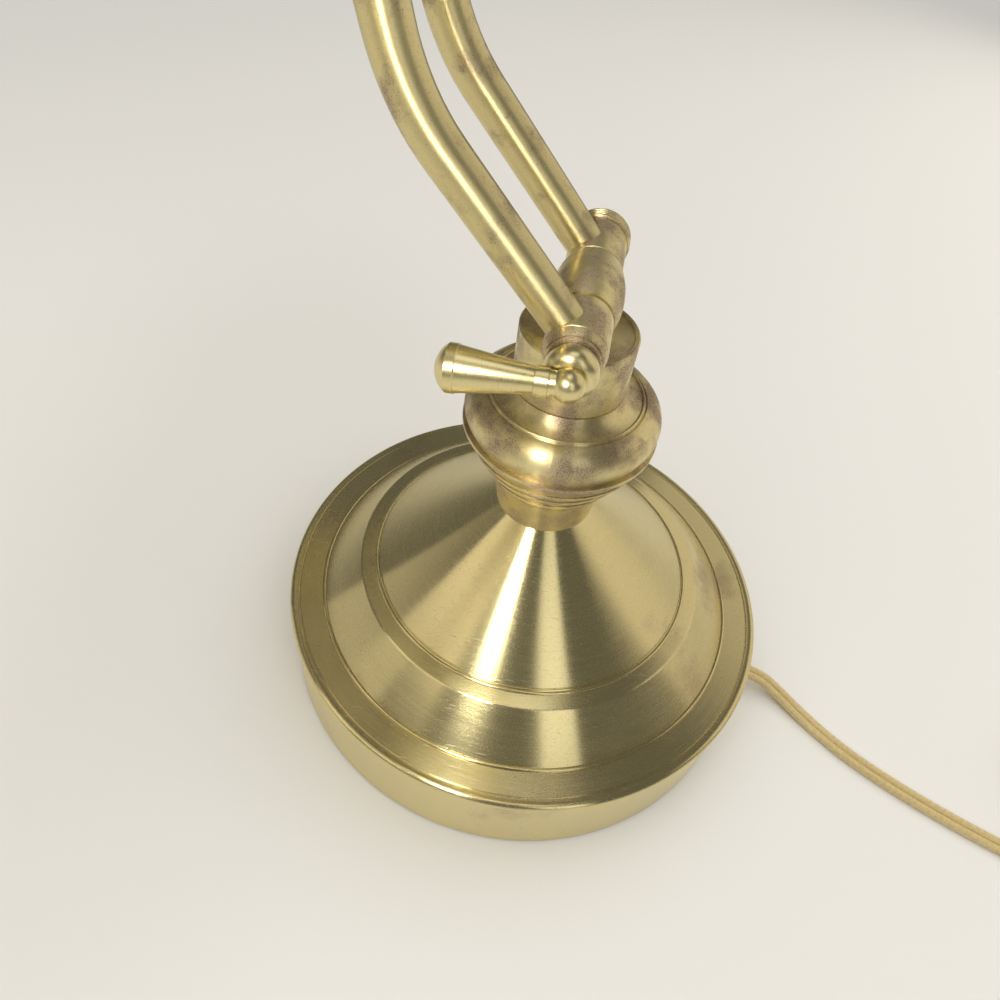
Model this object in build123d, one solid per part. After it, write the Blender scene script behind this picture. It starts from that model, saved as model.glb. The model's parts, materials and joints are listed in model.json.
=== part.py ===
from build123d import *
import math
import os

# Adjustable brass piano lamp: a weighted round base, a turned vase, two bent tubes between
# two clamped crossbars, and a long half-round shade.
# Millimetres.  The origin is the middle of the base's underside.  +Z is up, -Y is the front
# that the shade leans over, and +X is the side of the clamp keys.

# ---------------------------------------------------------------- fits
SHAFT_GAP = 0.05        # radial gap of a turning fit
FACE_GAP = 0.30         # gap between the faces of two pieces that turn against each other
LEAD_GAP = 0.30         # room round an inner wire
CUT = 4.0               # how far a cutter runs past the wall that it opens

# ---------------------------------------------------------------- base
FELT_T = 1.6            # felt pad under the base
PLATE_T = 1.5           # fibre plate that closes the base
PAD_GAP = 0.8           # ring of air between the pad and the skirt
SHELL_T = 1.0           # spun brass wall
FOOT_Z = 0.9            # lower edge of the skirt
RIM_R = 95.0            # skirt
RIM_Z = 34.7            # flat band at the top of the skirt
RIM_BEVEL = 1.5         # corner between skirt and band
RIM_BEAD_R = 1.7        # rolled bead round the rim
BAND_R = 82.4           # inner edge of the flat band
STEP_R = 67.3           # top of the sloping ring
STEP_Z = 49.3
CONE_R = 61.4           # foot of the cone
CONE_Z = 50.2
CONE_BEAD_R = 0.75      # fine bead at the foot of the cone
BAND_BEAD_R = 0.8       # bead along the inner edge of the flat band
SPIN_GROOVE_R = 0.35    # fine grooves beside the beads
NECK_R = 17.6           # top of the cone and foot of the neck
NECK_Z = 85.9
SPIN_R = 1.6            # softened corners of the spun shell
WEIGHT_T = 18.0         # cast iron weight
WEIGHT_GAP = 3.5        # room between the weight and the skirt
WEIGHT_CAST_R = 3.0     # sloped lower corner of the casting
RECESS_R = 20.0         # recess for the nut under the weight
RECESS_DEPTH = 8.0

# ---------------------------------------------------------------- threaded tube and its nut
NIPPLE_R = 5.0
NIPPLE_BORE_R = 3.4
NIPPLE_HEAD = 10.5      # length held in the saddle head
NUT_ACROSS = 16.0       # hexagon across its flats
NUT_T = 5.0
WASHER_R = 13.0
WASHER_T = 1.6
NIPPLE_TAIL = 1.5       # thread that shows past the nut

# ---------------------------------------------------------------- neck, bowl and saddle head
WAIST_R = 19.6          # top of the plain, slightly tapered part of the neck
FLARE_Z = 99.0          # where the neck starts to flare
FIN_R = 32.4            # thin fin between neck and bowl
FIN_Z = 121.8
FIN_T = 1.4
FLARE_STEPS = 3         # fine steps turned in the flare
STEP_LAND = 0.9         # flat top of each fine step
BOWL_GROOVE_R = 31.0    # groove above the fin
BULGE_R = 32.2          # widest part of the bowl
BULGE_Z = 128.4
BOWL_GROOVE_H = 0.9
SHOULDER_R = 26.0       # end of the bulge
SHOULDER_Z = 135.6
RING_W = 1.9            # width of the fine ring on the shoulder, with its two grooves
RING_H = 0.75
RING_GROOVE = 0.35
COVE_DEPTH = 0.7        # hollow of the land between the ring and the head
BOWL_TOP_Z = 139.4
HEAD_R = 18.2           # saddle head
HEAD_H = 20.0           # height of the head above the bowl
HEAD_EDGE = 0.5         # softened corners of the head
HEAD_LIP = 1.6          # raised lip round the head's dished top
HEAD_DISH = 0.6

# ---------------------------------------------------------------- crossbars
BAR_RISE = 10.4         # from the head's top up to the lower crossbar's axis
BARREL_R = 10.7         # middle of the barrel
BARREL_END_R = 9.0
BARREL_HALF = 12.0
BARREL_POST_R = 7.0     # post that seats in the saddle head
SEAT_DEPTH = 8.0        # how deep the post goes in
HUB_R = 8.8
HUB_LEN = 18.0
HUB_ROUND = 0.7
HUB_NOSE_R = 7.7        # end of the near hub's rounded nose
HUB_NOSE_LEN = 4.4
HUB_LINE = 2.7          # fine groove, from the nose's end
BORE_R = 6.2            # room round the bolt for the wires
BOLT_END_GAP = 2.0      # from the bolt's far end to the cap's end
SPIGOT_R = 7.4          # ring of the hub that turns inside the barrel
SPIGOT_LEN = 2.4
BOLT_R = 2.5
CAP_R = 9.6             # ribbed cap on the bolt's far end
CAP_LEN = 7.6
CAP_RIBS = 4
CAP_RIB_DEPTH = 0.6
WASHER_RING_R = 7.5     # thin ring beside the near hub
WASHER_RING_T = 1.4
COLLAR_NUT_R = 7.4      # round collar nut between the ring and the key
COLLAR_NUT_LEN = 7.0
COLLAR_FOOT_R = 6.4
COLLAR_NOSE_R = 5.0
COLLAR_BULGE = 3.8      # from the collar's foot to its widest part
KEY_BALL_OUT = 1.7      # from the collar's nose to the middle of the key's ball
KEY_BALL_R = 4.6
LEVER_LEN = 34.0        # from the ball's middle to the lever's tip
LEVER_THIN_R = 3.5
LEVER_THICK_R = 6.4
LEVER_COLLAR_R = 3.9
LEVER_COLLAR_LEN = 3.6  # ring beside the ball
LEVER_TIP = 3.4         # height of the domed tip
LEVER_LAND = 2.6        # plain band behind the tip
LEVER_STEP = 0.25       # edge between the band and the flare
LOWER_LEVER_RISE = -4.0     # degrees above level, pointing to the front
UPPER_LEVER_RISE = 60.0

# ---------------------------------------------------------------- bent tubes
TUBE_R = 5.8
TUBE_T = 0.9
LOWER_LEAN = 42.3       # degrees from upright, towards the front
LOWER_LEG = 71.0
MIDDLE_LEAN = 15.0
MIDDLE_LEG = 110.0
UPPER_LEAN = 80.0
UPPER_LEG = 68.0
LOWER_BEND_R = 60.0
UPPER_BEND_R = 42.0

# ---------------------------------------------------------------- shade
SHADE_R = 46.0          # outside of the half cylinder
SHADE_LEN = 356.0
SHADE_T = 0.9
SHADE_LIP = 6.0         # straight wall below the half cylinder
SHADE_HEM_R = 1.5       # rolled hem along the straight walls
SHADE_DROP = 18.0       # from the upper bar's axis to the crown
CROWN_COLLAR_R = 11.0   # turned seat on the crown
CROWN_COLLAR_T = 3.0
CROWN_FOOT_T = 1.0      # thickness of the saddle washer under the crown
STEM_R = 5.0            # threaded stem of the upper barrel
STEM_TAIL = 9.0         # stem below the crown
STEM_NUT_T = 4.0

# ---------------------------------------------------------------- lampholder, bulb and switch
SOCKET_R = 16.5
SOCKET_LEN = 48.0
SOCKET_T = 0.8
SOCKET_CAP_LEN = 12.0   # closed, narrowing back of the socket shell
SOCKET_BACK_LIP = 3.5   # flat of the back round the post
SOCKET_POST_R = 4.8     # short threaded tube from the shade's end to the socket
SOCKET_STANDOFF = 6.0
SOCKET_NUT_R = 8.0
SOCKET_NUT_T = 3.5
INSERT_WALL = 0.6       # gap between the shell and the insulating insert
THREAD_R = 13.2         # E26 screw cap
THREAD_DEPTH = 24.0
CONTACT_R = 4.0
CONTACT_T = 1.2
BUTTON_LEN = 1.5        # contact button that stands out of the bulb's cap
CAP_CONE_LEN = 4.5      # insulating cone between button and thread
CAP_CONE_EDGE = 1.0
CAP_GAP = 0.4           # looseness of the screw cap in its bore
CAP_TAIL = 2.0          # cap that shows outside the lampholder
BULB_R = 16.0
BULB_LEN = 116.0        # glass only
BULB_NECK_R = 12.6
BULB_NECK_LEN = 10.0
BULB_WALL = 0.9
BULB_GAP = 3.5          # air between the switch and the bulb
SWITCH_X = 96.0         # switch, from the shade's middle towards the socket's end
SWITCH_R = 11.0
SWITCH_BODY_T = 14.0
SWITCH_BUSH_R = 5.0
SWITCH_BUSH_H = 7.0
SWITCH_NUT_R = 8.0
SWITCH_NUT_T = 2.0
KNOB_R = 7.0
KNOB_H = 12.0
KNOB_FLUTES = 16
KNOB_FLUTE_R = 0.8
KNOB_SKIRT = 3.0        # plain foot below the flutes
KNOB_STEM_R = 2.0

# ---------------------------------------------------------------- wires and supply cord
LEAD_R = 1.4
LEAD_BEND_R = 8.0
LEAD_DROP = 5.0         # wire under the crown, below the stem's end
CORD_R = 3.2            # the flat twin cord is as wide as this round solid
CORD_EXIT_Z = 7.6
CORD_EXIT_TURN = 2.0    # degrees from straight back towards the key side
CORD_INSET = 3.0        # how far the loose cord reaches into the bushing
CORD_STRAIGHT = 9.5     # straight way out past the bushing
BUSHING_FLANGE_R = 5.4
BUSHING_FLANGE_T = 1.4
BUSHING_BARREL_R = 4.3
BUSHING_INNER_T = 2.0
COIL_R = 34.8           # middle of the turns
COIL_W = 13.6           # radial width of the wound coil
COIL_H = 14.0
COIL_X = 26.0
COIL_Y = 262.0
# Points of the cord's route on the table, past its straight way out of the skirt.
CORD_ROUTE = [
    (8.2, 116.5, 3.9),
    (17.5, 128.0, 3.2),
    (29.0, 143.5, 3.2),
    (39.0, 163.0, 3.2),
    (48.0, 185.0, 3.2),
    (56.0, 209.0, 3.2),
    (62.0, 234.0, 3.2),
    (64.1, 258.0, 3.2),
]
PLUG_W = 24.0
PLUG_H = 15.0
PLUG_LEN = 27.0
PLUG_NOSE_W = 15.0
PLUG_ROUND = 3.0
BLADE_W = 6.35
BLADE_T = 1.5
BLADE_LEN = 17.0
BLADE_PITCH = 12.7
BLADE_HOLE_R = 1.6

# ---------------------------------------------------------------- sizes that follow
WEIGHT_R = RIM_R - SHELL_T - WEIGHT_GAP
WEIGHT_TOP_Z = RIM_Z - SHELL_T
WEIGHT_Z = WEIGHT_TOP_Z - WEIGHT_T
WEIGHT_WASHER_Z = WEIGHT_Z + RECESS_DEPTH - WASHER_T
WEIGHT_NUT_Z = WEIGHT_WASHER_Z - NUT_T
FIN_TOP_Z = FIN_Z + FIN_T
HEAD_TOP_Z = BOWL_TOP_Z + HEAD_H
BAR_Z = HEAD_TOP_Z + BAR_RISE
SEAT_Z = HEAD_TOP_Z - SEAT_DEPTH
NIPPLE_TOP_Z = BOWL_TOP_Z + NIPPLE_HEAD
HUB_X = BARREL_HALF + FACE_GAP
HUB_END_X = HUB_X + HUB_LEN
TUBE_X = HUB_X + HUB_LEN / 2
RING_END_X = HUB_END_X + WASHER_RING_T
COLLAR_X = RING_END_X + FACE_GAP
COLLAR_END_X = COLLAR_X + COLLAR_NUT_LEN
KEY_BALL_X = COLLAR_END_X + KEY_BALL_OUT
BOLT_END_X = HUB_END_X + CAP_LEN - BOLT_END_GAP


def leg(start, lean, length):
    """End of a straight leg that leans forward by lean degrees from upright."""
    a = math.radians(lean)
    return (start[0] - length * math.sin(a), start[1] + length * math.cos(a))


LOWER_BAR = (0.0, BAR_Z)
LOWER_CORNER = leg(LOWER_BAR, LOWER_LEAN, LOWER_LEG)
UPPER_CORNER = leg(LOWER_CORNER, MIDDLE_LEAN, MIDDLE_LEG)
UPPER_BAR = leg(UPPER_CORNER, UPPER_LEAN, UPPER_LEG)
CROWN_Z = UPPER_BAR[1] - SHADE_DROP
SHADE_Z = CROWN_Z - SHADE_R
SHADE_RIM_Z = SHADE_Z - SHADE_LIP
SHADE_END_X = SHADE_LEN / 2
SOCKET_BACK_X = -SHADE_END_X + SHADE_T + SOCKET_STANDOFF
SOCKET_FRONT_X = SOCKET_BACK_X + SOCKET_LEN
CONTACT_X = SOCKET_FRONT_X - THREAD_DEPTH
SOCKET_LEAD_X = SOCKET_BACK_X + SOCKET_CAP_LEN * 0.6
LEAD_Z = CROWN_Z - STEM_TAIL - LEAD_DROP
SWITCH_TOP_Z = CROWN_Z - SHADE_T - SWITCH_R ** 2 / SHADE_R / 2 - FACE_GAP
BULB_BAR = (UPPER_BAR[0], SWITCH_TOP_Z - SWITCH_BODY_T - BULB_GAP - BULB_R)


# ---------------------------------------------------------------- helpers
def turned(points, axis=Axis.Z):
    """Solid of revolution from a closed half profile of (radius, height) points."""
    face = make_face(Polyline(*[(r, 0, z) for r, z in points], close=True).edges())
    return Solid(revolve(face, axis, 360).wrapped)


def turned_wire(edges):
    """Solid of revolution about Z from edges that close a half profile in the XZ plane."""
    return Solid(revolve(make_face(edges), Axis.Z, 360).wrapped)


def along_x(solid, x=0.0, bar=(0.0, 0.0)):
    """Lay a solid made along Z down along +X, starting at x, on a bar's axis."""
    return Pos(x, bar[0], bar[1]) * Rot(0, 90, 0) * solid


def cylinder_x(radius, x0, x1, bar):
    """Cylinder round a bar's axis from x0 to x1."""
    return along_x(Pos(0, 0, (x1 - x0) / 2) * Cylinder(radius, x1 - x0), x0, bar)


def cylinder_z(radius, z0, z1, x=0.0, y=0.0):
    """Upright cylinder from z0 to z1."""
    return Pos(x, y, (z0 + z1) / 2) * Cylinder(radius, z1 - z0)


def at_exit(radius, y0, y1):
    """Level cylinder along the cord's way out through the skirt, from y0 to y1."""
    rod = Pos(0, (y0 + y1) / 2, CORD_EXIT_Z) * Rot(90, 0, 0) * Cylinder(radius, y1 - y0)
    return Rot(0, 0, -CORD_EXIT_TURN) * rod


def torus_z(ring_r, section_r, z):
    """Ring bead round the Z axis."""
    return Pos(0, 0, z) * Torus(ring_r, section_r)


def hexagon_nut(across, bore_r, z0, thickness):
    """Plain hexagon nut standing on z0."""
    body = extrude(RegularPolygon(across / 2, 6, major_radius=False), thickness)
    return Pos(0, 0, z0) * (body - Pos(0, 0, thickness / 2) * Cylinder(bore_r, thickness))


def dome_arc(radius, z0, z1):
    """Edge of a spherical cap in the XZ plane, from its rim at z0 to its pole at z1."""
    rise = z1 - z0
    sphere = (radius ** 2 + rise ** 2) / (2 * rise)
    half = math.atan2(radius, sphere - rise) / 2
    middle = (sphere * math.sin(half), 0, z1 - sphere + sphere * math.cos(half))
    return ThreePointArc((radius, 0, z0), middle, (0, 0, z1))


def wall_points(points, wall):
    """Points moved inwards by the wall, each along the bisector of its corner."""
    moved = []
    for i, (r, z) in enumerate(points):
        before = points[max(i - 1, 0)]
        after = points[min(i + 1, len(points) - 1)]
        d1 = Vector(r - before[0], z - before[1], 0)
        d2 = Vector(after[0] - r, after[1] - z, 0)
        d1 = d2 if d1.length < 1e-6 else d1
        d2 = d1 if d2.length < 1e-6 else d2
        n1 = Vector(-d1.Y, d1.X, 0).normalized()
        n2 = Vector(-d2.Y, d2.X, 0).normalized()
        n = (n1 + n2).normalized()
        step = wall / n.dot(n1)
        moved.append((r + n.X * step, z + n.Y * step))
    return moved


# ---------------------------------------------------------------- base
def shell_outline():
    """Outer half profile of the spun base, from the foot up to the neck."""
    return [
        (RIM_R, FOOT_Z),
        (RIM_R, RIM_Z - RIM_BEVEL),
        (RIM_R - RIM_BEVEL, RIM_Z),
        (BAND_R, RIM_Z),
        (STEP_R, STEP_Z),
        (CONE_R, CONE_Z),
        (NECK_R, NECK_Z),
        (NIPPLE_R, NECK_Z),
    ]


def base_shell():
    """Spun brass shell: skirt, rolled rim, flat band, slope, ring and cone."""
    outer = shell_outline()
    inner = wall_points(outer, SHELL_T)
    inner[0] = (RIM_R - SHELL_T, FOOT_Z)
    inner[-1] = (NIPPLE_R, NECK_Z - SHELL_T)
    shell = turned(outer + inner[::-1])
    soft = [(BAND_R, RIM_Z), (STEP_R, STEP_Z)]
    edges = [e for e in shell.edges() for r, z in soft
             if abs(e.center(CenterOf.BOUNDING_BOX).Z - z) < 0.01 and abs(e.radius - r) < 0.01]
    shell = fillet(edges, SPIN_R)
    rim_bead_r = RIM_R - RIM_BEVEL * 0.6
    shell = shell + torus_z(rim_bead_r, RIM_BEAD_R, RIM_Z - RIM_BEVEL)
    shell = shell + torus_z(BAND_R, BAND_BEAD_R, RIM_Z)
    shell = shell + torus_z(CONE_R, CONE_BEAD_R, CONE_Z - CONE_BEAD_R * 0.2)
    shell = shell - torus_z(rim_bead_r - RIM_BEAD_R - SPIN_GROOVE_R, SPIN_GROOVE_R, RIM_Z)
    inset = CONE_BEAD_R + SPIN_GROOVE_R
    rise = inset * (NECK_Z - CONE_Z) / (CONE_R - NECK_R)
    shell = shell - torus_z(CONE_R - inset, SPIN_GROOVE_R, CONE_Z + rise)
    return shell - at_exit(BUSHING_BARREL_R, RIM_R - 2 * SHELL_T, RIM_R + SHELL_T)


def base_weight():
    """Cast iron disc that bears on the underside of the flat band, recessed for its nut."""
    profile = [
        (NIPPLE_R, WEIGHT_Z + RECESS_DEPTH),
        (RECESS_R, WEIGHT_Z + RECESS_DEPTH),
        (RECESS_R, WEIGHT_Z),
        (WEIGHT_R - WEIGHT_CAST_R, WEIGHT_Z),
        (WEIGHT_R, WEIGHT_Z + WEIGHT_CAST_R),
        (WEIGHT_R, WEIGHT_TOP_Z),
        (NIPPLE_R, WEIGHT_TOP_Z),
    ]
    return turned(profile)


def base_plate():
    """Fibre plate above the felt."""
    r = RIM_R - SHELL_T - PAD_GAP
    return cylinder_z(r, FELT_T, FELT_T + PLATE_T)


def base_felt():
    """Felt pad that the lamp stands on."""
    return cylinder_z(RIM_R - SHELL_T - PAD_GAP, 0, FELT_T)


def centre_nipple():
    """Hollow threaded tube that clamps weight, shell, neck, bowl and head together."""
    z0 = WEIGHT_NUT_Z - NIPPLE_TAIL
    return cylinder_z(NIPPLE_R, z0, NIPPLE_TOP_Z) - cylinder_z(NIPPLE_BORE_R, z0, NIPPLE_TOP_Z)


def nipple_washer():
    """Steel washer under the weight."""
    z1 = WEIGHT_WASHER_Z + WASHER_T
    return cylinder_z(WASHER_R, WEIGHT_WASHER_Z, z1) - cylinder_z(NIPPLE_R, WEIGHT_WASHER_Z, z1)


def nipple_nut():
    """Hexagon nut under the washer."""
    return hexagon_nut(NUT_ACROSS, NIPPLE_R, WEIGHT_NUT_Z, NUT_T)


# ---------------------------------------------------------------- vase
def neck_turning():
    """Turned neck: a plain foot and a stepped flare out to the thin fin."""
    points = [(NIPPLE_R, NECK_Z), (NECK_R, NECK_Z), (WAIST_R, FLARE_Z)]
    rise = (FIN_Z - FLARE_Z) / (FLARE_STEPS + 1)
    reach = (FIN_R - WAIST_R) / (FLARE_STEPS + 1)
    for i in range(1, FLARE_STEPS + 1):
        r = WAIST_R + reach * i
        z = FLARE_Z + rise * i
        points.append((r, z - STEP_LAND))
        points.append((r, z))
        points.append((r - STEP_LAND / 2, z))
    points += [(FIN_R, FIN_Z), (FIN_R, FIN_TOP_Z), (NIPPLE_R, FIN_TOP_Z)]
    return turned(points)


def vase_bowl():
    """Wide turned bulge above the fin, with a fine ring on its shoulder and a hollow land."""
    groove_top = FIN_TOP_Z + BOWL_GROOVE_H
    bulge = ThreePointArc((BOWL_GROOVE_R, 0, groove_top), (BULGE_R, 0, BULGE_Z),
                          (SHOULDER_R, 0, SHOULDER_Z))
    groove_out = (SHOULDER_R - RING_GROOVE, 0, SHOULDER_Z - RING_GROOVE)
    ring_out = (SHOULDER_R - 2 * RING_GROOVE, 0, SHOULDER_Z + RING_H / 3)
    ring_top = (SHOULDER_R - RING_W / 2 - RING_GROOVE / 2, 0, SHOULDER_Z + RING_H)
    ring_in = (SHOULDER_R - RING_W + RING_GROOVE / 2, 0, SHOULDER_Z + RING_H * 2 / 3)
    groove_in = (SHOULDER_R - RING_W, 0, SHOULDER_Z + RING_GROOVE)
    cove_run = Vector(HEAD_R - groove_in[0], 0, BOWL_TOP_Z - groove_in[2])
    inward = Vector(-cove_run.Z, 0, cove_run.X).normalized() * COVE_DEPTH
    cove = Vector(*groove_in) + cove_run * 0.5 + inward
    edges = [
        Line((NIPPLE_R, 0, FIN_TOP_Z), (BOWL_GROOVE_R, 0, FIN_TOP_Z)),
        Line((BOWL_GROOVE_R, 0, FIN_TOP_Z), (BOWL_GROOVE_R, 0, groove_top)),
        bulge,
        Line((SHOULDER_R, 0, SHOULDER_Z), groove_out),
        Line(groove_out, ring_out),
        ThreePointArc(ring_out, ring_top, ring_in),
        Line(ring_in, groove_in),
        ThreePointArc(groove_in, cove, (HEAD_R, 0, BOWL_TOP_Z)),
        Line((HEAD_R, 0, BOWL_TOP_Z), (NIPPLE_R, 0, BOWL_TOP_Z)),
        Line((NIPPLE_R, 0, BOWL_TOP_Z), (NIPPLE_R, 0, FIN_TOP_Z)),
    ]
    return turned_wire(edges)


def saddle_head():
    """Cylindrical head with a lipped, dished top, a bore for the threaded tube and a cradle."""
    lip_r = HEAD_R - HEAD_LIP
    points = [
        (0, BOWL_TOP_Z),
        (HEAD_R - HEAD_EDGE, BOWL_TOP_Z),
        (HEAD_R, BOWL_TOP_Z + HEAD_EDGE),
        (HEAD_R, HEAD_TOP_Z - HEAD_EDGE),
        (HEAD_R - HEAD_EDGE, HEAD_TOP_Z),
        (lip_r, HEAD_TOP_Z),
        (lip_r - HEAD_DISH / 2, HEAD_TOP_Z - HEAD_DISH),
        (0, HEAD_TOP_Z - HEAD_DISH),
    ]
    head = turned(points)
    head = head - cylinder_z(NIPPLE_R, BOWL_TOP_Z - 1, NIPPLE_TOP_Z)
    head = head - cylinder_z(BARREL_POST_R, SEAT_Z, HEAD_TOP_Z + 1)
    head = head - cylinder_z(NIPPLE_BORE_R, NIPPLE_TOP_Z - 1, SEAT_Z + 1)
    return head - barrel_form(LOWER_BAR, FACE_GAP)


# ---------------------------------------------------------------- crossbar pieces
def barrel_form(bar, extra=0.0):
    """Solid barrel: an arc-sided drum round the bar's axis."""
    end = BARREL_HALF + extra
    edges = [
        Line((0, 0, -end), (BARREL_END_R + extra, 0, -end)),
        ThreePointArc((BARREL_END_R + extra, 0, -end), (BARREL_R + extra, 0, 0),
                      (BARREL_END_R + extra, 0, end)),
        Line((BARREL_END_R + extra, 0, end), (0, 0, end)),
        Line((0, 0, end), (0, 0, -end)),
    ]
    return along_x(turned_wire(edges), 0, bar)


def barrel(bar, post_r, post_z0):
    """Middle barrel on a post, bored for the bolt and counterbored for the hubs' spigots."""
    body = barrel_form(bar) + cylinder_z(post_r, post_z0, bar[1], 0, bar[0])
    body = body - cylinder_x(BORE_R, -BARREL_HALF - 1, BARREL_HALF + 1, bar)
    seat_r = SPIGOT_R + SHAFT_GAP
    seat = BARREL_HALF - SPIGOT_LEN - FACE_GAP
    body = body - cylinder_x(seat_r, seat, BARREL_HALF + 1, bar)
    body = body - cylinder_x(seat_r, -BARREL_HALF - 1, -seat, bar)
    return body - cylinder_z(LEAD_R + 3 * LEAD_GAP, post_z0, bar[1], 0, bar[0])


def lower_barrel():
    """Barrel of the lower joint, seated in the saddle head."""
    return barrel(LOWER_BAR, BARREL_POST_R, SEAT_Z)


def upper_barrel():
    """Barrel of the upper joint, with the threaded stem that carries the shade."""
    body = barrel(UPPER_BAR, BARREL_POST_R, CROWN_Z + CROWN_COLLAR_T)
    z0 = CROWN_Z - STEM_TAIL
    z1 = CROWN_Z + CROWN_COLLAR_T
    stem = cylinder_z(STEM_R, z0, z1, 0, UPPER_BAR[0])
    body = body + stem
    bore_top = UPPER_BAR[1] - BORE_R
    return body - cylinder_z(LEAD_R + 3 * LEAD_GAP, z0, bore_top, 0, UPPER_BAR[0])


def hub(side, bar, tube):
    """Hub with a spigot that turns in the barrel and a socket for the end of a tube."""
    nose_r, nose_z = (HUB_NOSE_R, HUB_LEN - HUB_NOSE_LEN) if side > 0 else (HUB_R - HUB_ROUND, HUB_LEN - HUB_ROUND)
    points = [
        (BORE_R, 0, HUB_LEN),
        (BORE_R, 0, -SPIGOT_LEN),
        (SPIGOT_R, 0, -SPIGOT_LEN),
        (SPIGOT_R, 0, 0),
        (HUB_R - HUB_ROUND, 0, 0),
        (HUB_R, 0, HUB_ROUND),
        (HUB_R, 0, nose_z),
    ]
    edges = [Line(a, b) for a, b in zip(points, points[1:])]
    edges += [TangentArc((HUB_R, 0, nose_z), (nose_r, 0, HUB_LEN), tangent=(0, 0, 1)),
              Line((nose_r, 0, HUB_LEN), (BORE_R, 0, HUB_LEN))]
    body = turned_wire(edges)
    if side > 0:
        line_z = HUB_LEN - HUB_LINE
        body = body - turned([(HUB_R + 1, line_z - 1 - SPIN_GROOVE_R), (HUB_R - SPIN_GROOVE_R, line_z),
                              (HUB_R + 1, line_z + 1 + SPIN_GROOVE_R)])
    body = along_x(body, HUB_X, bar)
    if side < 0:
        body = mirror(body, Plane.YZ)
    return body - tube


def tube_path(x, start=LOWER_BAR, end=UPPER_BAR):
    """Centre line of a bent tube between the two bars."""
    points = [(x, *start), (x, *LOWER_CORNER), (x, *UPPER_CORNER), (x, *end)]
    return FilletPolyline(*points, radius=[LOWER_BEND_R, UPPER_BEND_R])


def tube_solid(x, radius):
    """Round bar along the bent centre line."""
    path = tube_path(x)
    start = path @ 0
    section = Plane(origin=start, z_dir=path % 0) * Circle(radius)
    return Solid(sweep(section, path=path).wrapped)


def bent_tube(x):
    """Bent brass tube whose ends open into the bores of the two hubs."""
    tube = tube_solid(x, TUBE_R) - tube_solid(x, TUBE_R - TUBE_T)
    reach = TUBE_R + 2
    for bar in (LOWER_BAR, UPPER_BAR):
        tube = tube - cylinder_x(BORE_R, x - reach, x + reach, bar)
    return max(tube.solids(), key=lambda s: s.volume)


def ribbed_cap(bar):
    """Round ribbed cap on the bolt's far end, with a blind hole for the bolt."""
    pitch = CAP_LEN * 0.62 / CAP_RIBS
    points = [(0, 0), (CAP_R - CAP_RIB_DEPTH, 0)]
    for i in range(CAP_RIBS):
        z = pitch * i
        points.append((CAP_R - CAP_RIB_DEPTH, z + 0.2 * pitch))
        points.append((CAP_R, z + 0.4 * pitch))
        points.append((CAP_R, z + 0.8 * pitch))
        points.append((CAP_R - CAP_RIB_DEPTH, z + pitch))
    top = pitch * CAP_RIBS
    points += [(CAP_R * 0.78, top + (CAP_LEN - top) * 0.55)]
    points += [(CAP_R * 0.45, CAP_LEN - 0.4), (0, CAP_LEN)]
    cap = along_x(turned(points), HUB_END_X, bar)
    cap = cap - cylinder_x(BOLT_R + SHAFT_GAP, HUB_END_X - 1, BOLT_END_X + FACE_GAP, bar)
    return mirror(cap, Plane.YZ)


def washer_ring(bar):
    """Thin grooved ring that closes the near hub."""
    mid = WASHER_RING_T / 2
    points = [
        (BOLT_R + SHAFT_GAP, 0),
        (WASHER_RING_R - 0.3, 0),
        (WASHER_RING_R, mid),
        (WASHER_RING_R - 0.3, WASHER_RING_T),
        (BOLT_R + SHAFT_GAP, WASHER_RING_T),
    ]
    return along_x(turned(points), HUB_END_X, bar)


def round_collar(bar, rise):
    """Round collar nut, with a seat in its nose for the key's ball and the root of its lever."""
    widest = (COLLAR_NUT_R, 0, COLLAR_BULGE)
    foot = (COLLAR_FOOT_R, 0, 0)
    nose = (COLLAR_NOSE_R, 0, COLLAR_NUT_LEN)
    edges = [
        Line((BOLT_R, 0, 0), foot),
        TangentArc(widest, foot, tangent=(0, 0, -1)),
        TangentArc(widest, nose, tangent=(0, 0, 1)),
        Line(nose, (BOLT_R, 0, COLLAR_NUT_LEN)),
        Line((BOLT_R, 0, COLLAR_NUT_LEN), (BOLT_R, 0, 0)),
    ]
    body = along_x(turned_wire(edges), COLLAR_X, bar)
    root = cylinder_z(LEVER_COLLAR_R + SHAFT_GAP, 0, COLLAR_NUT_R + 1)
    seat = Sphere(KEY_BALL_R + SHAFT_GAP) + Rot(90 - rise, 0, 0) * root
    return body - Pos(KEY_BALL_X, bar[0], bar[1]) * seat


def clamp_bolt(bar):
    """Long bolt from the ribbed cap to the key."""
    return cylinder_x(BOLT_R, -BOLT_END_X, KEY_BALL_X, bar)


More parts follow.
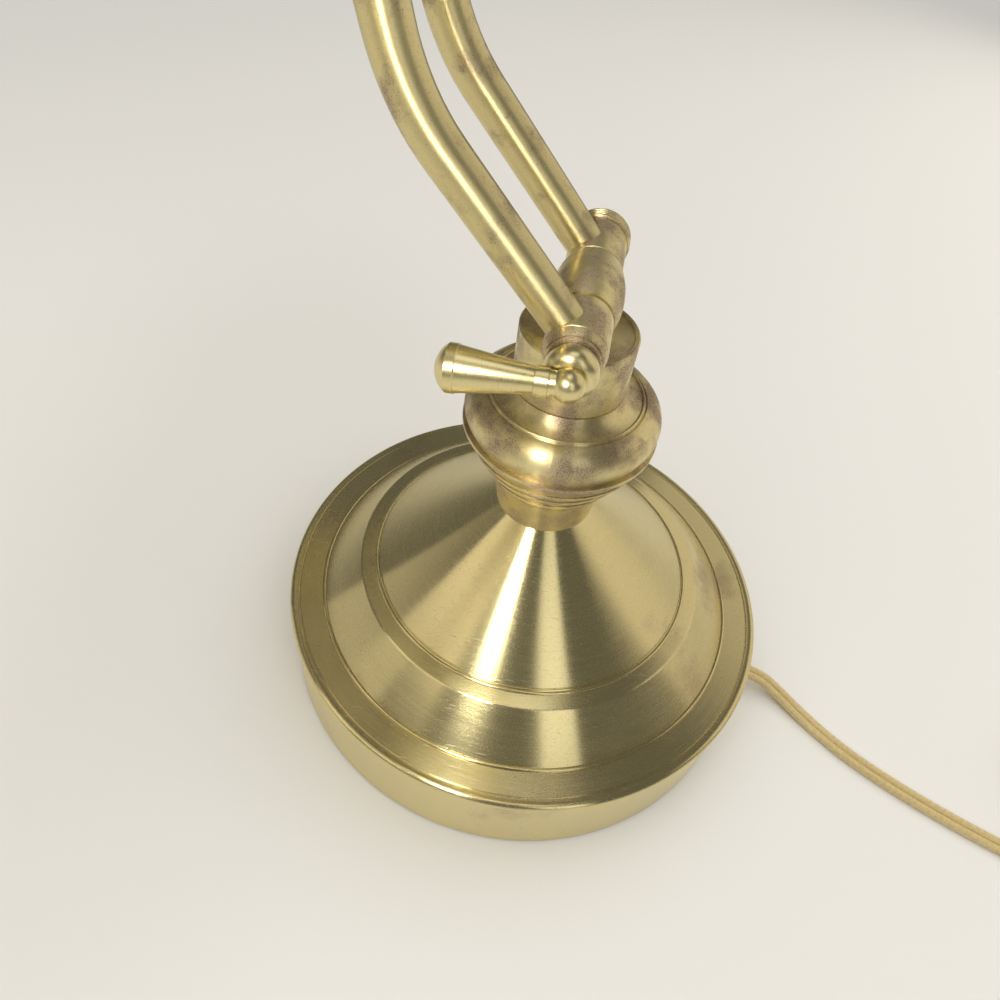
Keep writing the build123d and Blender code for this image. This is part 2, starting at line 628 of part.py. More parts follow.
def clamp_key(bar, rise):
    """Cast key: a ball, and a flaring lever with a rounded tip."""
    ball = Pos(KEY_BALL_X, bar[0], bar[1]) * Sphere(KEY_BALL_R)
    collar_end = KEY_BALL_R + LEVER_COLLAR_LEN
    band_end = LEVER_LEN - LEVER_TIP
    flare_end = band_end - LEVER_LAND
    points = [
        (0, 0, 0),
        (LEVER_THIN_R, 0, 0),
        (LEVER_THIN_R, 0, KEY_BALL_R),
        (LEVER_COLLAR_R, 0, KEY_BALL_R + LEVER_STEP),
        (LEVER_COLLAR_R, 0, collar_end),
        (LEVER_THIN_R, 0, collar_end + LEVER_STEP),
        (LEVER_THICK_R - LEVER_STEP, 0, flare_end),
        (LEVER_THICK_R, 0, flare_end + LEVER_STEP),
        (LEVER_THICK_R, 0, band_end),
    ]
    edges = [Line(a, b) for a, b in zip(points, points[1:])]
    edges += [dome_arc(LEVER_THICK_R, band_end, LEVER_LEN), Line((0, 0, LEVER_LEN), (0, 0, 0))]
    lever = Rot(90 - rise, 0, 0) * turned_wire(edges)
    key = ball + Pos(KEY_BALL_X, bar[0], bar[1]) * lever
    return key - cylinder_x(BOLT_R, KEY_BALL_X - KEY_BALL_R - 1, KEY_BALL_X, bar)


# ---------------------------------------------------------------- shade
def shade_section(radius):
    """Half-round section, open below, with short straight walls, in the YZ plane."""
    y = UPPER_BAR[0]
    z = SHADE_Z
    low = SHADE_RIM_Z
    arc = ThreePointArc((0, y - radius, z), (0, y, z + radius), (0, y + radius, z))
    return [
        Line((0, y - radius, low), (0, y - radius, z)),
        arc,
        Line((0, y + radius, z), (0, y + radius, low)),
        Line((0, y + radius, low), (0, y - radius, low)),
    ]


def half_round(radius, length):
    """Solid half-round bar along X, centred on the shade."""
    face = make_face(shade_section(radius))
    body = extrude(face, amount=length / 2, dir=(1, 0, 0), both=True)
    return Solid(body.wrapped)


def shade_shell():
    """Thin half-round shade, open below and at its ends, with a hemmed rim."""
    length = SHADE_LEN - 2 * SHADE_T
    shell = half_round(SHADE_R, length) - half_round(SHADE_R - SHADE_T, length + 2)
    for side in (-1, 1):
        y = UPPER_BAR[0] + side * (SHADE_R - SHADE_T)
        hem = Rot(0, 90, 0) * Cylinder(SHADE_HEM_R, length)
        shell = shell + Pos(0, y, SHADE_RIM_Z + SHADE_HEM_R) * hem
    shell = shell - cylinder_z(STEM_R, CROWN_Z - CUT, CROWN_Z + CUT, 0, UPPER_BAR[0])
    return shell - cylinder_z(SWITCH_BUSH_R, CROWN_Z - CUT, CROWN_Z + CUT, -SWITCH_X, UPPER_BAR[0])


def shade_end(side):
    """Flat half-round plate that closes one end of the shade."""
    plate = Pos(side * (SHADE_END_X - SHADE_T / 2), 0, 0) * half_round(SHADE_R, SHADE_T)
    if side > 0:
        return plate
    return plate - cylinder_x(SOCKET_POST_R, -SHADE_END_X - CUT, -SHADE_END_X + CUT, BULB_BAR)


def crown_collar():
    """Turned seat between the upper barrel's post and the crown of the shade."""
    y = UPPER_BAR[0]
    r = CROWN_COLLAR_R
    points = [
        (STEM_R, -r),
        (r, -r),
        (r, CROWN_COLLAR_T * 0.35),
        (r - 1.2, CROWN_COLLAR_T * 0.75),
        (BARREL_POST_R, CROWN_COLLAR_T),
        (STEM_R, CROWN_COLLAR_T),
    ]
    return Pos(0, y, CROWN_Z) * turned(points) - half_round(SHADE_R, SHADE_LEN)


def stem_nut():
    """Hexagon nut under the crown."""
    z0 = CROWN_Z - SHADE_T - STEM_NUT_T - CROWN_FOOT_T
    return Pos(0, UPPER_BAR[0], z0) * hexagon_nut(NUT_ACROSS * 0.9, STEM_R, 0, STEM_NUT_T)


def stem_washer():
    """Washer under the crown, bent to the shade's curve."""
    top = CROWN_Z - SHADE_T
    z0 = CROWN_Z - SHADE_T - CROWN_FOOT_T
    ring = cylinder_z(NUT_ACROSS * 0.52, z0, top, 0, UPPER_BAR[0])
    ring = ring - cylinder_z(STEM_R, z0 - CUT, top + CUT, 0, UPPER_BAR[0])
    return ring & half_round(SHADE_R - SHADE_T, SHADE_LEN)


# ---------------------------------------------------------------- lampholder and bulb
def socket_shell():
    """Drawn brass shell of the lampholder, narrowed at the back."""
    r = SOCKET_R
    back = SOCKET_POST_R + SOCKET_BACK_LIP
    outer = [(SOCKET_POST_R, 0), (back, 0), (r, SOCKET_CAP_LEN), (r, SOCKET_LEN)]
    inner = wall_points(outer, SOCKET_T)
    inner[0] = (SOCKET_POST_R, SOCKET_T)
    inner[-1] = (r - SOCKET_T, SOCKET_LEN)
    shell = along_x(turned(outer + inner[::-1]), SOCKET_BACK_X, BULB_BAR)
    y, z = BULB_BAR
    return shell - cylinder_z(LEAD_R + LEAD_GAP, z, z + r, SOCKET_LEAD_X, y)


def socket_insert():
    """Insulating cup with the screw-cap bore."""
    r = SOCKET_R - SOCKET_T - INSERT_WALL
    x0 = SOCKET_BACK_X + SOCKET_CAP_LEN + 1
    cup = cylinder_x(r, x0, SOCKET_FRONT_X, BULB_BAR)
    return cup - cylinder_x(THREAD_R + SHAFT_GAP, CONTACT_X, SOCKET_FRONT_X + 1, BULB_BAR)


def socket_contact():
    """Centre contact at the bottom of the bore."""
    return cylinder_x(CONTACT_R, CONTACT_X, CONTACT_X + CONTACT_T, BULB_BAR)


def socket_post():
    """Short threaded tube that holds the lampholder to the shade's end."""
    x0 = -SHADE_END_X - SOCKET_NUT_T
    x1 = SOCKET_BACK_X + SOCKET_T + SOCKET_NUT_T
    post = cylinder_x(SOCKET_POST_R, x0, x1, BULB_BAR)
    return post - cylinder_x(SOCKET_POST_R * 0.55, x0 + 2, x1 + 1, BULB_BAR)


def socket_nut(x0):
    """Round knurled nut on the lampholder's post."""
    bar = BULB_BAR
    x1 = x0 + SOCKET_NUT_T
    nut = cylinder_x(SOCKET_NUT_R, x0, x1, bar)
    nut = chamfer(nut.edges().filter_by(GeomType.CIRCLE), 0.5)
    return nut - cylinder_x(SOCKET_POST_R, x0 - 1, x1 + 1, bar)


def bulb_cap():
    """Screw cap of the bulb, with its centre contact button."""
    x0 = CONTACT_X + CONTACT_T
    cone_x = x0 + BUTTON_LEN
    body_x = cone_x + CAP_CONE_LEN
    r = THREAD_R - CAP_GAP
    button = cylinder_x(CONTACT_R * 0.9, x0, cone_x, BULB_BAR)
    cone = [(0, 0), (CONTACT_R, 0), (r - CAP_CONE_EDGE, CAP_CONE_LEN), (0, CAP_CONE_LEN)]
    body = cylinder_x(r, body_x, SOCKET_FRONT_X + CAP_TAIL, BULB_BAR)
    return button + along_x(turned(cone), cone_x, BULB_BAR) + body


def bulb_glass():
    """Tubular glass bulb with a rounded tip, open where the cap closes it."""
    return bulb_form(0.0) - bulb_form(BULB_WALL)


def bulb_form(wall):
    """Solid form of the bulb, moved in by the wall everywhere but at its neck."""
    r = BULB_R - wall
    tip = BULB_LEN - wall
    straight = BULB_LEN - BULB_R * 0.8
    edges = [
        Line((0, 0, 0), (BULB_NECK_R - wall, 0, 0)),
        Line((BULB_NECK_R - wall, 0, 0), (r, 0, BULB_NECK_LEN)),
        Line((r, 0, BULB_NECK_LEN), (r, 0, straight)),
        dome_arc(r, straight, tip),
        Line((0, 0, tip), (0, 0, 0)),
    ]
    return along_x(turned_wire(edges), SOCKET_FRONT_X + CAP_TAIL, BULB_BAR)


# ---------------------------------------------------------------- switch
def switch_body():
    """Round switch under the crown, with its threaded bush through the shade."""
    y = UPPER_BAR[0]
    can = cylinder_z(SWITCH_R, SWITCH_TOP_Z - SWITCH_BODY_T, SWITCH_TOP_Z, -SWITCH_X, y)
    can = fillet(can.edges().filter_by(GeomType.CIRCLE), 1.0)
    bush = cylinder_z(SWITCH_BUSH_R, SWITCH_TOP_Z - 2, CROWN_Z + SWITCH_BUSH_H, -SWITCH_X, y)
    bore = cylinder_z(KNOB_STEM_R + SHAFT_GAP, CROWN_Z - 4, CROWN_Z + SWITCH_BUSH_H + 1,
                      -SWITCH_X, y)
    return can + bush - bore


def switch_nut():
    """Round nut that holds the switch to the crown."""
    y = UPPER_BAR[0]
    points = [
        (SWITCH_BUSH_R, -SWITCH_NUT_R),
        (SWITCH_NUT_R, -SWITCH_NUT_R),
        (SWITCH_NUT_R, SWITCH_NUT_T - 0.6),
        (SWITCH_NUT_R - 0.6, SWITCH_NUT_T),
        (SWITCH_BUSH_R, SWITCH_NUT_T),
    ]
    return Pos(-SWITCH_X, y, CROWN_Z) * turned(points) - half_round(SHADE_R, SHADE_LEN)


def switch_knob():
    """Fluted turn knob on the switch's spindle."""
    y = UPPER_BAR[0]
    z0 = CROWN_Z + SWITCH_BUSH_H + FACE_GAP
    points = [
        (0, 0),
        (KNOB_R, 0),
        (KNOB_R, KNOB_H - 2.5),
        (KNOB_R - 1.0, KNOB_H - 0.8),
        (KNOB_R * 0.5, KNOB_H),
        (0, KNOB_H),
    ]
    knob = turned(points)
    flute = cylinder_z(KNOB_FLUTE_R, KNOB_SKIRT, KNOB_H + 1, KNOB_R + KNOB_FLUTE_R * 0.4)
    knob = knob - [Rot(0, 0, 360 / KNOB_FLUTES * i) * flute for i in range(KNOB_FLUTES)]
    stem = cylinder_z(KNOB_STEM_R, CROWN_Z - 3.5, z0 + 1, -SWITCH_X, y)
    return Pos(-SWITCH_X, y, z0) * knob + stem


# ---------------------------------------------------------------- wires, cord and plug
def wire(points, radii, radius):
    """Round wire along straight runs joined by arcs."""
    path = FilletPolyline(*points, radius=radii)
    section = Plane(origin=path @ 0, z_dir=path % 0) * Circle(radius)
    return Solid(sweep(section, path=path).wrapped)


def lead_base():
    """Wire from the bushing across the base, up the threaded tube and into the barrel."""
    start = (0, RIM_R - SHELL_T - BUSHING_INNER_T, CORD_EXIT_Z)
    side = BARREL_HALF - 3
    offset = BOLT_R + LEAD_R + LEAD_GAP
    points = [start, (0, 0, CORD_EXIT_Z), (0, 0, BAR_Z - offset)]
    body = wire(points, [LEAD_BEND_R], LEAD_R)
    tail = cylinder_x(LEAD_R, -side, 0, (0, BAR_Z - offset))
    return Rot(0, 0, -CORD_EXIT_TURN) * body + tail


def lead_arm():
    """Wire through the far tube, from one hub's bore to the other."""
    x = -TUBE_X
    start = leg(LOWER_BAR, LOWER_LEAN, BOLT_R + LEAD_R + LEAD_GAP)
    end = leg(UPPER_BAR, UPPER_LEAN, -(BOLT_R + LEAD_R + LEAD_GAP))
    path = tube_path(x, start, end)
    section = Plane(origin=path @ 0, z_dir=path % 0) * Circle(LEAD_R)
    return Solid(sweep(section, path=path).wrapped)


def lead_shade():
    """Wire from the upper barrel down the stem and along under the crown to the switch."""
    y = UPPER_BAR[0]
    top = UPPER_BAR[1] - BOLT_R - LEAD_R - LEAD_GAP
    end = -SWITCH_X + SWITCH_R
    points = [(0, y, top), (0, y, LEAD_Z), (end, y, LEAD_Z)]
    return wire(points, [LEAD_BEND_R * 0.6], LEAD_R)


def lead_socket():
    """Wire from the switch into the back of the lampholder."""
    y, z = BULB_BAR
    start = -SWITCH_X - SWITCH_R
    low = z + SOCKET_POST_R + LEAD_R
    points = [(start, y, LEAD_Z), (SOCKET_LEAD_X, y, LEAD_Z), (SOCKET_LEAD_X, y, low)]
    return wire(points, [LEAD_BEND_R * 0.6], LEAD_R)


def cord_bushing():
    """Plastic bushing in the skirt, flanged outside and inside, that the cord comes through."""
    inner_y = RIM_R - SHELL_T - BUSHING_INNER_T
    outer_y = RIM_R + BUSHING_FLANGE_T
    flange_in = (RIM_R ** 2 - BUSHING_FLANGE_R ** 2) ** 0.5
    flange = at_exit(BUSHING_FLANGE_R, flange_in, outer_y) - cylinder_z(RIM_R, 0, RIM_Z)
    body = flange + at_exit(BUSHING_BARREL_R, inner_y, outer_y)
    return body - at_exit(CORD_R, outer_y - CORD_INSET, outer_y + 1)


def cord_points():
    """The cord's route, from inside the bushing to the coil."""
    face = RIM_R + BUSHING_FLANGE_T
    way_out = [(0, face - CORD_INSET, CORD_EXIT_Z), (0, face + CORD_STRAIGHT, CORD_EXIT_Z)]
    way_out = [tuple(Vector(*point).rotate(Axis.Z, -CORD_EXIT_TURN)) for point in way_out]
    return way_out + CORD_ROUTE


def cord_radii(points):
    """Arc at each corner: 0.45 of the shorter run over the tangent of half the turn."""
    radii = []
    for a, b, c in zip(points, points[1:], points[2:]):
        v1 = Vector(*b) - Vector(*a)
        v2 = Vector(*c) - Vector(*b)
        turn = v1.get_angle(v2)
        radii.append(0.45 * min(v1.length, v2.length) / math.tan(math.radians(turn / 2)))
    return radii


def cord_tube():
    """The part of the cord that lies loose, up to the coil."""
    points = cord_points()
    radii = cord_radii(points)
    print("cord radii", [round(r, 1) for r in radii])
    tube = wire(points, radii, CORD_R)
    length = FilletPolyline(*points, radius=radii).length
    section = math.pi * CORD_R ** 2
    print("cord length", round(length, 1), "volume ratio", round(tube.volume / length / section, 4))
    tube = tube - cylinder_z(COIL_R + COIL_W / 2, 0, COIL_H, COIL_X, COIL_Y)
    return max(tube.solids(), key=lambda part: part.volume)


def cord_coil():
    """Outer shape of the wound spare length."""
    ring = cylinder_z(COIL_R + COIL_W / 2, 0, COIL_H, COIL_X, COIL_Y)
    ring = ring - cylinder_z(COIL_R - COIL_W / 2, -1, COIL_H + 1, COIL_X, COIL_Y)
    return fillet(ring.edges().filter_by(GeomType.CIRCLE), CORD_R / 2)


def plug_place():
    """Where the plug lies: on top of the coil, along its last turn."""
    return Pos(COIL_X, COIL_Y + COIL_R, COIL_H + PLUG_H / 2) * Rot(0, 0, 90)


def plug_body():
    """Moulded plug, wide at the face and narrower at the cord end."""
    nose = Plane.XZ * RectangleRounded(PLUG_NOSE_W, PLUG_H * 0.7, PLUG_ROUND)
    face = Plane.XZ * RectangleRounded(PLUG_W, PLUG_H, PLUG_ROUND)
    body = loft([Pos(0, 0, 0) * nose, Pos(0, PLUG_LEN * 0.45, 0) * face])
    body = body + extrude(Pos(0, PLUG_LEN * 0.45, 0) * face, PLUG_LEN * 0.55, dir=(0, 1, 0))
    return plug_place() * body


def plug_blades():
    """Two flat blades with their holes."""
    blades = []
    for side in (-1, 1):
        blade = Pos(side * BLADE_PITCH / 2, PLUG_LEN + BLADE_LEN / 2, 0) * Box(
            BLADE_T, BLADE_LEN, BLADE_W)
        hole = Pos(side * BLADE_PITCH / 2, PLUG_LEN + BLADE_LEN - 4, 0) * Rot(0, 90, 0) * Cylinder(
            BLADE_HOLE_R, 4 * BLADE_T)
        blades.append(plug_place() * (blade - hole))
    return Compound(children=blades)


# ---------------------------------------------------------------- all nodes
def hub_pair(bar):
    """Near and far hub of one crossbar, with the tubes' sockets cut in them."""
    near = hub(1, bar, tube_solid(TUBE_X, TUBE_R))
    far = hub(-1, bar, tube_solid(-TUBE_X, TUBE_R))
    return near, far


def main():
    """Write one STEP file for each piece."""
    os.makedirs("parts", exist_ok=True)
    lower_near, lower_far = hub_pair(LOWER_BAR)
    upper_near, upper_far = hub_pair(UPPER_BAR)
    nodes = {
        "base_shell": base_shell(),
        "base_weight": base_weight(),
        "base_plate": base_plate(),
        "base_felt": base_felt(),
        "centre_nipple": centre_nipple(),
        "nipple_washer": nipple_washer(),
        "nipple_nut": nipple_nut(),
        "neck_turning": neck_turning(),
        "vase_bowl": vase_bowl(),
        "saddle_head": saddle_head(),
        "lower_barrel": lower_barrel(),
        "lower_near_hub": lower_near,
        "lower_far_hub": lower_far,
        "lower_far_cap": ribbed_cap(LOWER_BAR),
        "lower_washer_ring": washer_ring(LOWER_BAR),
        "lower_collar": round_collar(LOWER_BAR, LOWER_LEVER_RISE),
        "lower_bolt": clamp_bolt(LOWER_BAR),
        "lower_key": clamp_key(LOWER_BAR, LOWER_LEVER_RISE),
        "near_tube": bent_tube(TUBE_X),
        "far_tube": bent_tube(-TUBE_X),
        "upper_near_hub": upper_near,
        "upper_far_hub": upper_far,
        "upper_far_cap": ribbed_cap(UPPER_BAR),
        "upper_washer_ring": washer_ring(UPPER_BAR),
        "upper_collar": round_collar(UPPER_BAR, UPPER_LEVER_RISE),
        "upper_bolt": clamp_bolt(UPPER_BAR),
        "upper_key": clamp_key(UPPER_BAR, UPPER_LEVER_RISE),
        "upper_barrel": upper_barrel(),
        "crown_collar": crown_collar(),
        "stem_washer": stem_washer(),
        "stem_nut": stem_nut(),
        "shade_shell": shade_shell(),
        "shade_end_near": shade_end(1),
        "shade_end_far": shade_end(-1),
        "socket_post": socket_post(),
        "socket_nut_outer": socket_nut(-SHADE_END_X - SOCKET_NUT_T),
        "socket_nut_inner": socket_nut(SOCKET_BACK_X - SOCKET_NUT_T),
        "socket_shell": socket_shell(),
        "socket_insert": socket_insert(),
        "socket_contact": socket_contact(),
        "bulb_cap": bulb_cap(),
        "bulb_glass": bulb_glass(),
        "switch_body": switch_body(),
        "switch_nut": switch_nut(),
        "switch_knob": switch_knob(),
        "lead_base": lead_base(),
        "lead_arm": lead_arm(),
        "lead_shade": lead_shade(),
        "lead_socket": lead_socket(),
        "cord_bushing": cord_bushing(),
        "cord_tube": cord_tube(),
        "cord_coil": cord_coil(),
        "plug_body": plug_body(),
        "plug_blades": plug_blades(),
    }
    for name, solid in nodes.items():
        export_step(solid, os.path.join("parts", name + ".step"))
    print(len(nodes), "nodes")


main()
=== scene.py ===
"""Adjustable brass piano lamp: its finishes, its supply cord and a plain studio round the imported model."""

import json
import math

import bpy
from bpy.props import FloatProperty, FloatVectorProperty, IntProperty, PointerProperty
from mathutils import Matrix, Vector

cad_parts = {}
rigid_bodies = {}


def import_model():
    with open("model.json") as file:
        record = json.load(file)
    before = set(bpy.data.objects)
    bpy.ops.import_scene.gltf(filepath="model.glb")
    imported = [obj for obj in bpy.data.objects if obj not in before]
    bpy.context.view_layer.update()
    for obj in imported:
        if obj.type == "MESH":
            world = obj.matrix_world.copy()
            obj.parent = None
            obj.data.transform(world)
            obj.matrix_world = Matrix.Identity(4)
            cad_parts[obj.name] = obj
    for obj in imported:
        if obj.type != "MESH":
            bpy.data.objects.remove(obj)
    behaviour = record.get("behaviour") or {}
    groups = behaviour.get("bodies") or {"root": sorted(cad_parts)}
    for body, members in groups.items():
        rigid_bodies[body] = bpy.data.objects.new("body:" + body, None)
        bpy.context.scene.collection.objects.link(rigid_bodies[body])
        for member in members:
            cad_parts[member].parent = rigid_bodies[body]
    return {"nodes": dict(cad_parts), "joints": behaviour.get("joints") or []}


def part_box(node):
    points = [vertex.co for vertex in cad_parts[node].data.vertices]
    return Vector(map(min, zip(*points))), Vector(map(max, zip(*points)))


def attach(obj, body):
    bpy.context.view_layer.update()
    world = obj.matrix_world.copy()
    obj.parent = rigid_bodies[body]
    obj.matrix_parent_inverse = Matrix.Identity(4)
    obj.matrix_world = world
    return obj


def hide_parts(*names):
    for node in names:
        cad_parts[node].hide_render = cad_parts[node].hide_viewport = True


bl_info = {
    "name": "Brass piano lamp",
    "version": (1, 0, 0),
    "blender": (4, 5, 0),
    "location": "3D View > Sidebar > Piano Lamp",
    "description": "Makes the finishes, cord and studio of a brass piano lamp",
    "category": "Object",
}

for leftover in list(bpy.data.objects):
    bpy.data.objects.remove(leftover)
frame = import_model()
bpy.context.view_layer.update()

MM = 0.001

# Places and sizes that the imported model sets, in metres.
JOINTS = {joint["name"]: joint for joint in frame["joints"]}
LOWER_BAR = Vector(JOINTS["arm_tilt"]["pos_m"])
UPPER_BAR = Vector(JOINTS["shade_tilt"]["pos_m"])
KNOB_AXIS = Vector(JOINTS["switch_turn"]["pos_m"])
SHADE_LOW, SHADE_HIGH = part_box("shade_shell")
SHADE_R = (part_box("shade_end_near")[1].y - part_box("shade_end_near")[0].y) / 2
SHADE_AXIS = Vector((0.0, UPPER_BAR.y, SHADE_HIGH.z - SHADE_R))
NUT_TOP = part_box("switch_nut")[1].z

# The base's profile: how far in and down from the sheet's outside corners its beads and softened corners
# stand, in mm, and the angles and steps of its arcs.
RIM_BEAD = (0.9, 1.5)
SKIRT_TOP = 2.5  # from the rim bead's middle down to the straight skirt
SLOPE_SOFT = 0.6  # from the top of the slope down to where its corner starts to soften
STEP_CORNER = (0.08, 0.02)
STEP_TOP = (0.5, -0.077)
CONE_BEAD = (0.0, 0.15)
INNER_NECK = 0.356
INNER_CONE = (0.42, 0.947)
INNER_STEP = (0.466, 0.94)
INNER_BAND = 0.404
RIM_BEAD_ARC = (-58, 118, 16)
RIM_GROOVE_ARC = (0, -180, 8)
BAND_BEAD_ARC = (0, 136, 12)
CONE_BEAD_ARC = (3, 132, 12)
CONE_GROOVE_ARC = (-39, -219, 8)
SHARP_EDGE = 35  # degrees, above which an edge of a turned piece stays sharp

# The patterns on brass, in mm.
TUBE_GRAIN = 0.5
SPECKLE = 0.4
SCRATCH = 0.35
DUST_SPACING = 9.0
GRAIN_CHANGE = 5.0  # how much the spinning marks change on the way round: little, so that they form rings
ROUGH_NOISE = 0.6
NOISE_LOW, NOISE_HIGH = 0.3, 0.7  # most of a noise pattern lies between these
ENAMEL_ROUGHNESS = 0.42

RIDGE_SIDES = 12
KNURL_MARGIN = 0.6  # mm of the ring nut's height that the ridges leave plain

# The supply cord, in mm: out of the bushing and down, and then flat on the floor to the coil.
CORD_EXIT = [(3.26, 93.34, 7.6), (3.70, 105.84, 7.6), (8.2, 116.5, 3.4)]
CORD_ON_FLOOR = [(17.5, 128.0), (29.0, 143.5), (39.0, 163.0), (48.0, 185.0), (56.0, 209.0), (62.0, 234.0),
                 (64.1, 258.0)]
CORD_LIFT = 0.05  # keeps the cord off the floor
LAYER_GAP = 0.12  # between two layers of the coil
PLUG_ENTRY = (1.0, 34.8, 21.4)  # from the coil's middle to where the cord enters the plug
CORE_SIDES = 16
# The winding, in degrees round the coil.
FIRST_ANGLE = 0.6  # of a step
STRETCH = 300.0  # that the cord keeps to one place
SHORTER = 60.0  # by which its first stretch is shorter
LAST_ANGLE = 7 * 360 + 78
LEAVE_ANGLE = 2470  # from which it rises to the plug, by the height below
LEAVE_RISE = 9.0

# The studio, in metres.
FLOOR_REACH = 4.0
FLOOR_ROUGHNESS = 0.6
BASE_MIDDLE = (0.04, 0, 0.06)
# Each lamp's colour, its width and height, its place and the point that it faces.
LAMPS = {
    "sky": ("white", (8.0, 8.0), (0, 0, 3.0), (0, 0, 0)),
    "above": ("white", (0.5, 0.5), (0, 0, 1.2), (0, 0, 0)),
    "front": ("white", (0.05, 0.06), (0.205, -0.05, 0.31), (0.04, 0, 0.1)),
    "strip": ("white", (0.2, 0.5), (0.526, 0.304, 0.46), BASE_MIDDLE),
    "left": ("warm", (0.55, 0.4), (0.37, -0.47, 0.62), BASE_MIDDLE),
    "low_left": ("warm", (0.6, 0.3), (0.2, -0.68, 0.2), BASE_MIDDLE),
    "right": ("warm", (1.4, 0.9), (-0.466, 0.723, 0.53), BASE_MIDDLE),
}
CAMERA_PLACE = (0.18865, 0.0, 0.28733)
CAMERA_FORWARD = (-0.66769, -0.05609, -0.74232)
CAMERA_RIGHT = (-0.19408, 0.97579, 0.10084)
SENSOR_MM, LENS_MM = 36.0, 27.0
NEAR_CLIP = 0.01


def linear(code):
    """Linear RGBA from an sRGB hex code."""
    parts = [int(code[i:i + 2], 16) / 255 for i in (0, 2, 4)]
    return (*[c / 12.92 if c <= 0.04045 else ((c + 0.055) / 1.055) ** 2.4 for c in parts], 1.0)


def length_property(name, description, default_mm):
    """A length that the sidebar shows in the scene's unit."""
    return FloatProperty(name=name, description=description, default=default_mm * MM, unit="LENGTH")


def colour_property(name, description, code):
    """A colour, given as an sRGB hex code."""
    return FloatVectorProperty(name=name, description=description, default=linear(code), size=4,
                               subtype="COLOR", min=0.0, max=1.0)


def light_property(name, description, default):
    """The brightness of a lamp's face."""
    return FloatProperty(name=name, description=description, default=default, min=0.0, soft_max=100.0)


# ---------------------------------------------------------------- settings
class LampFinish(bpy.types.PropertyGroup):
    """Colours and grain of the lamp's finishes."""

    brass: colour_property("Brass", "Clean spun brass", "E5D69F")
    dulled: colour_property("Dulled brass", "Brass that has lost its shine", "C9B595")
    grime: colour_property("Grime", "Brown speckles of tarnish", "6E5A42")
    dust: colour_property("Dust", "Pale specks and the edges of scratches", "F4EFE2")
    lining: colour_property("Shade lining", "Baked enamel inside the shade", "F1EDE2")
    felt: colour_property("Felt", "Pad under the base", "1E2A22")
    flex: colour_property("Cord", "Clear gold cord cover", "D2BC84")
    plug: colour_property("Plug", "Moulded plug", "8A7440")
    # Real spinning marks lie about a tenth of a millimetre apart, and are drawn coarser so that they show.
    grain: length_property("Grain", "Spacing of the spinning marks", 0.45)
    polish: FloatProperty(name="Polish", description="Roughness of clean brass", default=0.21, min=0.05,
                          max=0.6, subtype="FACTOR")
    wall: length_property("Shade wall", "Thickness of the shade's sheet", 0.9)
    hem: length_property("Hem", "Height of the rolled hem, which stays bare inside", 3.0)


class LampBase(bpy.types.PropertyGroup):
    """Profile of the spun base."""

    rim: length_property("Rim", "Radius of the skirt", 95.0)
    rim_height: length_property("Rim height", "Height of the flat band", 34.7)
    rim_bead: length_property("Rim bead", "Radius of the bead rolled round the rim", 1.7)
    band: length_property("Band", "Radius where the flat band meets the slope", 82.4)
    band_bead: length_property("Band bead", "Radius of the bead inside the flat band", 0.8)
    step: length_property("Step", "Radius at the top of the slope", 67.3)
    step_height: length_property("Step height", "Height of the top of the slope", 49.3)
    cone: length_property("Cone", "Radius of the cone's foot", 61.4)
    cone_height: length_property("Cone height", "Height of the cone's foot", 50.2)
    cone_bead: length_property("Cone bead", "Radius of the bead at the cone's foot", 0.75)
    neck: length_property("Neck", "Radius at the top of the cone", 17.6)
    groove: length_property("Groove", "Radius of the fine grooves beside the beads", 0.35)
    bore: length_property("Bore", "Radius of the hole for the threaded tube", 5.0)
    wall: length_property("Wall", "Thickness of the spun sheet", 1.0)


class LampKnurl(bpy.types.PropertyGroup):
    """The knurled edge of the switch's ring nut."""

    ridges: IntProperty(name="Ridges", description="Ridges round the nut", default=44, min=8, max=120)
    ridge_radius: length_property("Ridge radius", "Radius of one round ridge", 0.32)
    nut_radius: length_property("Nut radius", "Radius of the ring nut", 8.0)
    nut_height: length_property("Nut height", "Height of the ring nut", 2.0)


class LampCord(bpy.types.PropertyGroup):
    """Size and winding of the supply cord."""

    width: length_property("Width", "Width of the flat twin cord", 6.4)
    thickness: length_property("Thickness", "Thickness of one of its two cores", 3.3)
    real_length: length_property("Length", "Whole length of the cord", 1800.0)
    coil_x: length_property("Coil X", "Middle of the coil", 26.0)
    coil_y: length_property("Coil Y", "Middle of the coil", 262.0)
    outer_turn: length_property("Outer turn", "Radius of the outer turns", 38.1)
    inner_turn: length_property("Inner turn", "Radius of the inner turns", 31.5)
    turn_points: IntProperty(name="Points a turn", description="Control points in each turn", default=18,
                             min=12, max=48)


class LampStage(bpy.types.PropertyGroup):
    """The plain studio."""

    floor: colour_property("Floor", "Pale floor", "F2F1EE")
    white: colour_property("White light", "Colour of the room and of the lamps above and in front", "FFFDF8")
    warm: colour_property("Warm light", "Colour of the lamps at the sides", "FFF4E4")
    room_light: light_property("Room light", "Brightness of the room", 0.14)
    sky: light_property("Sky", "Brightness of the wide soft light on the floor", 0.8)
    above: light_property("Above", "Brightness of the lamp overhead", 1.2)
    front: light_property("Front", "Brightness of the small lamp beside the camera", 38.0)
    strip: light_property("Strip", "Brightness of the tall lamp right of the camera", 1.2)
    left: light_property("Left", "Brightness of the wide lamp on the left", 1.15)
    low_left: light_property("Low left", "Brightness of the low lamp on the left", 0.45)
    right: light_property("Right", "Brightness of the wide lamp on the right", 0.65)


# ---------------------------------------------------------------- helpers
def new_piece(name, data):
    """Link a mesh or curve as an object at the origin."""
    piece = bpy.data.objects.new(name, data)
    bpy.context.scene.collection.objects.link(piece)
    return piece


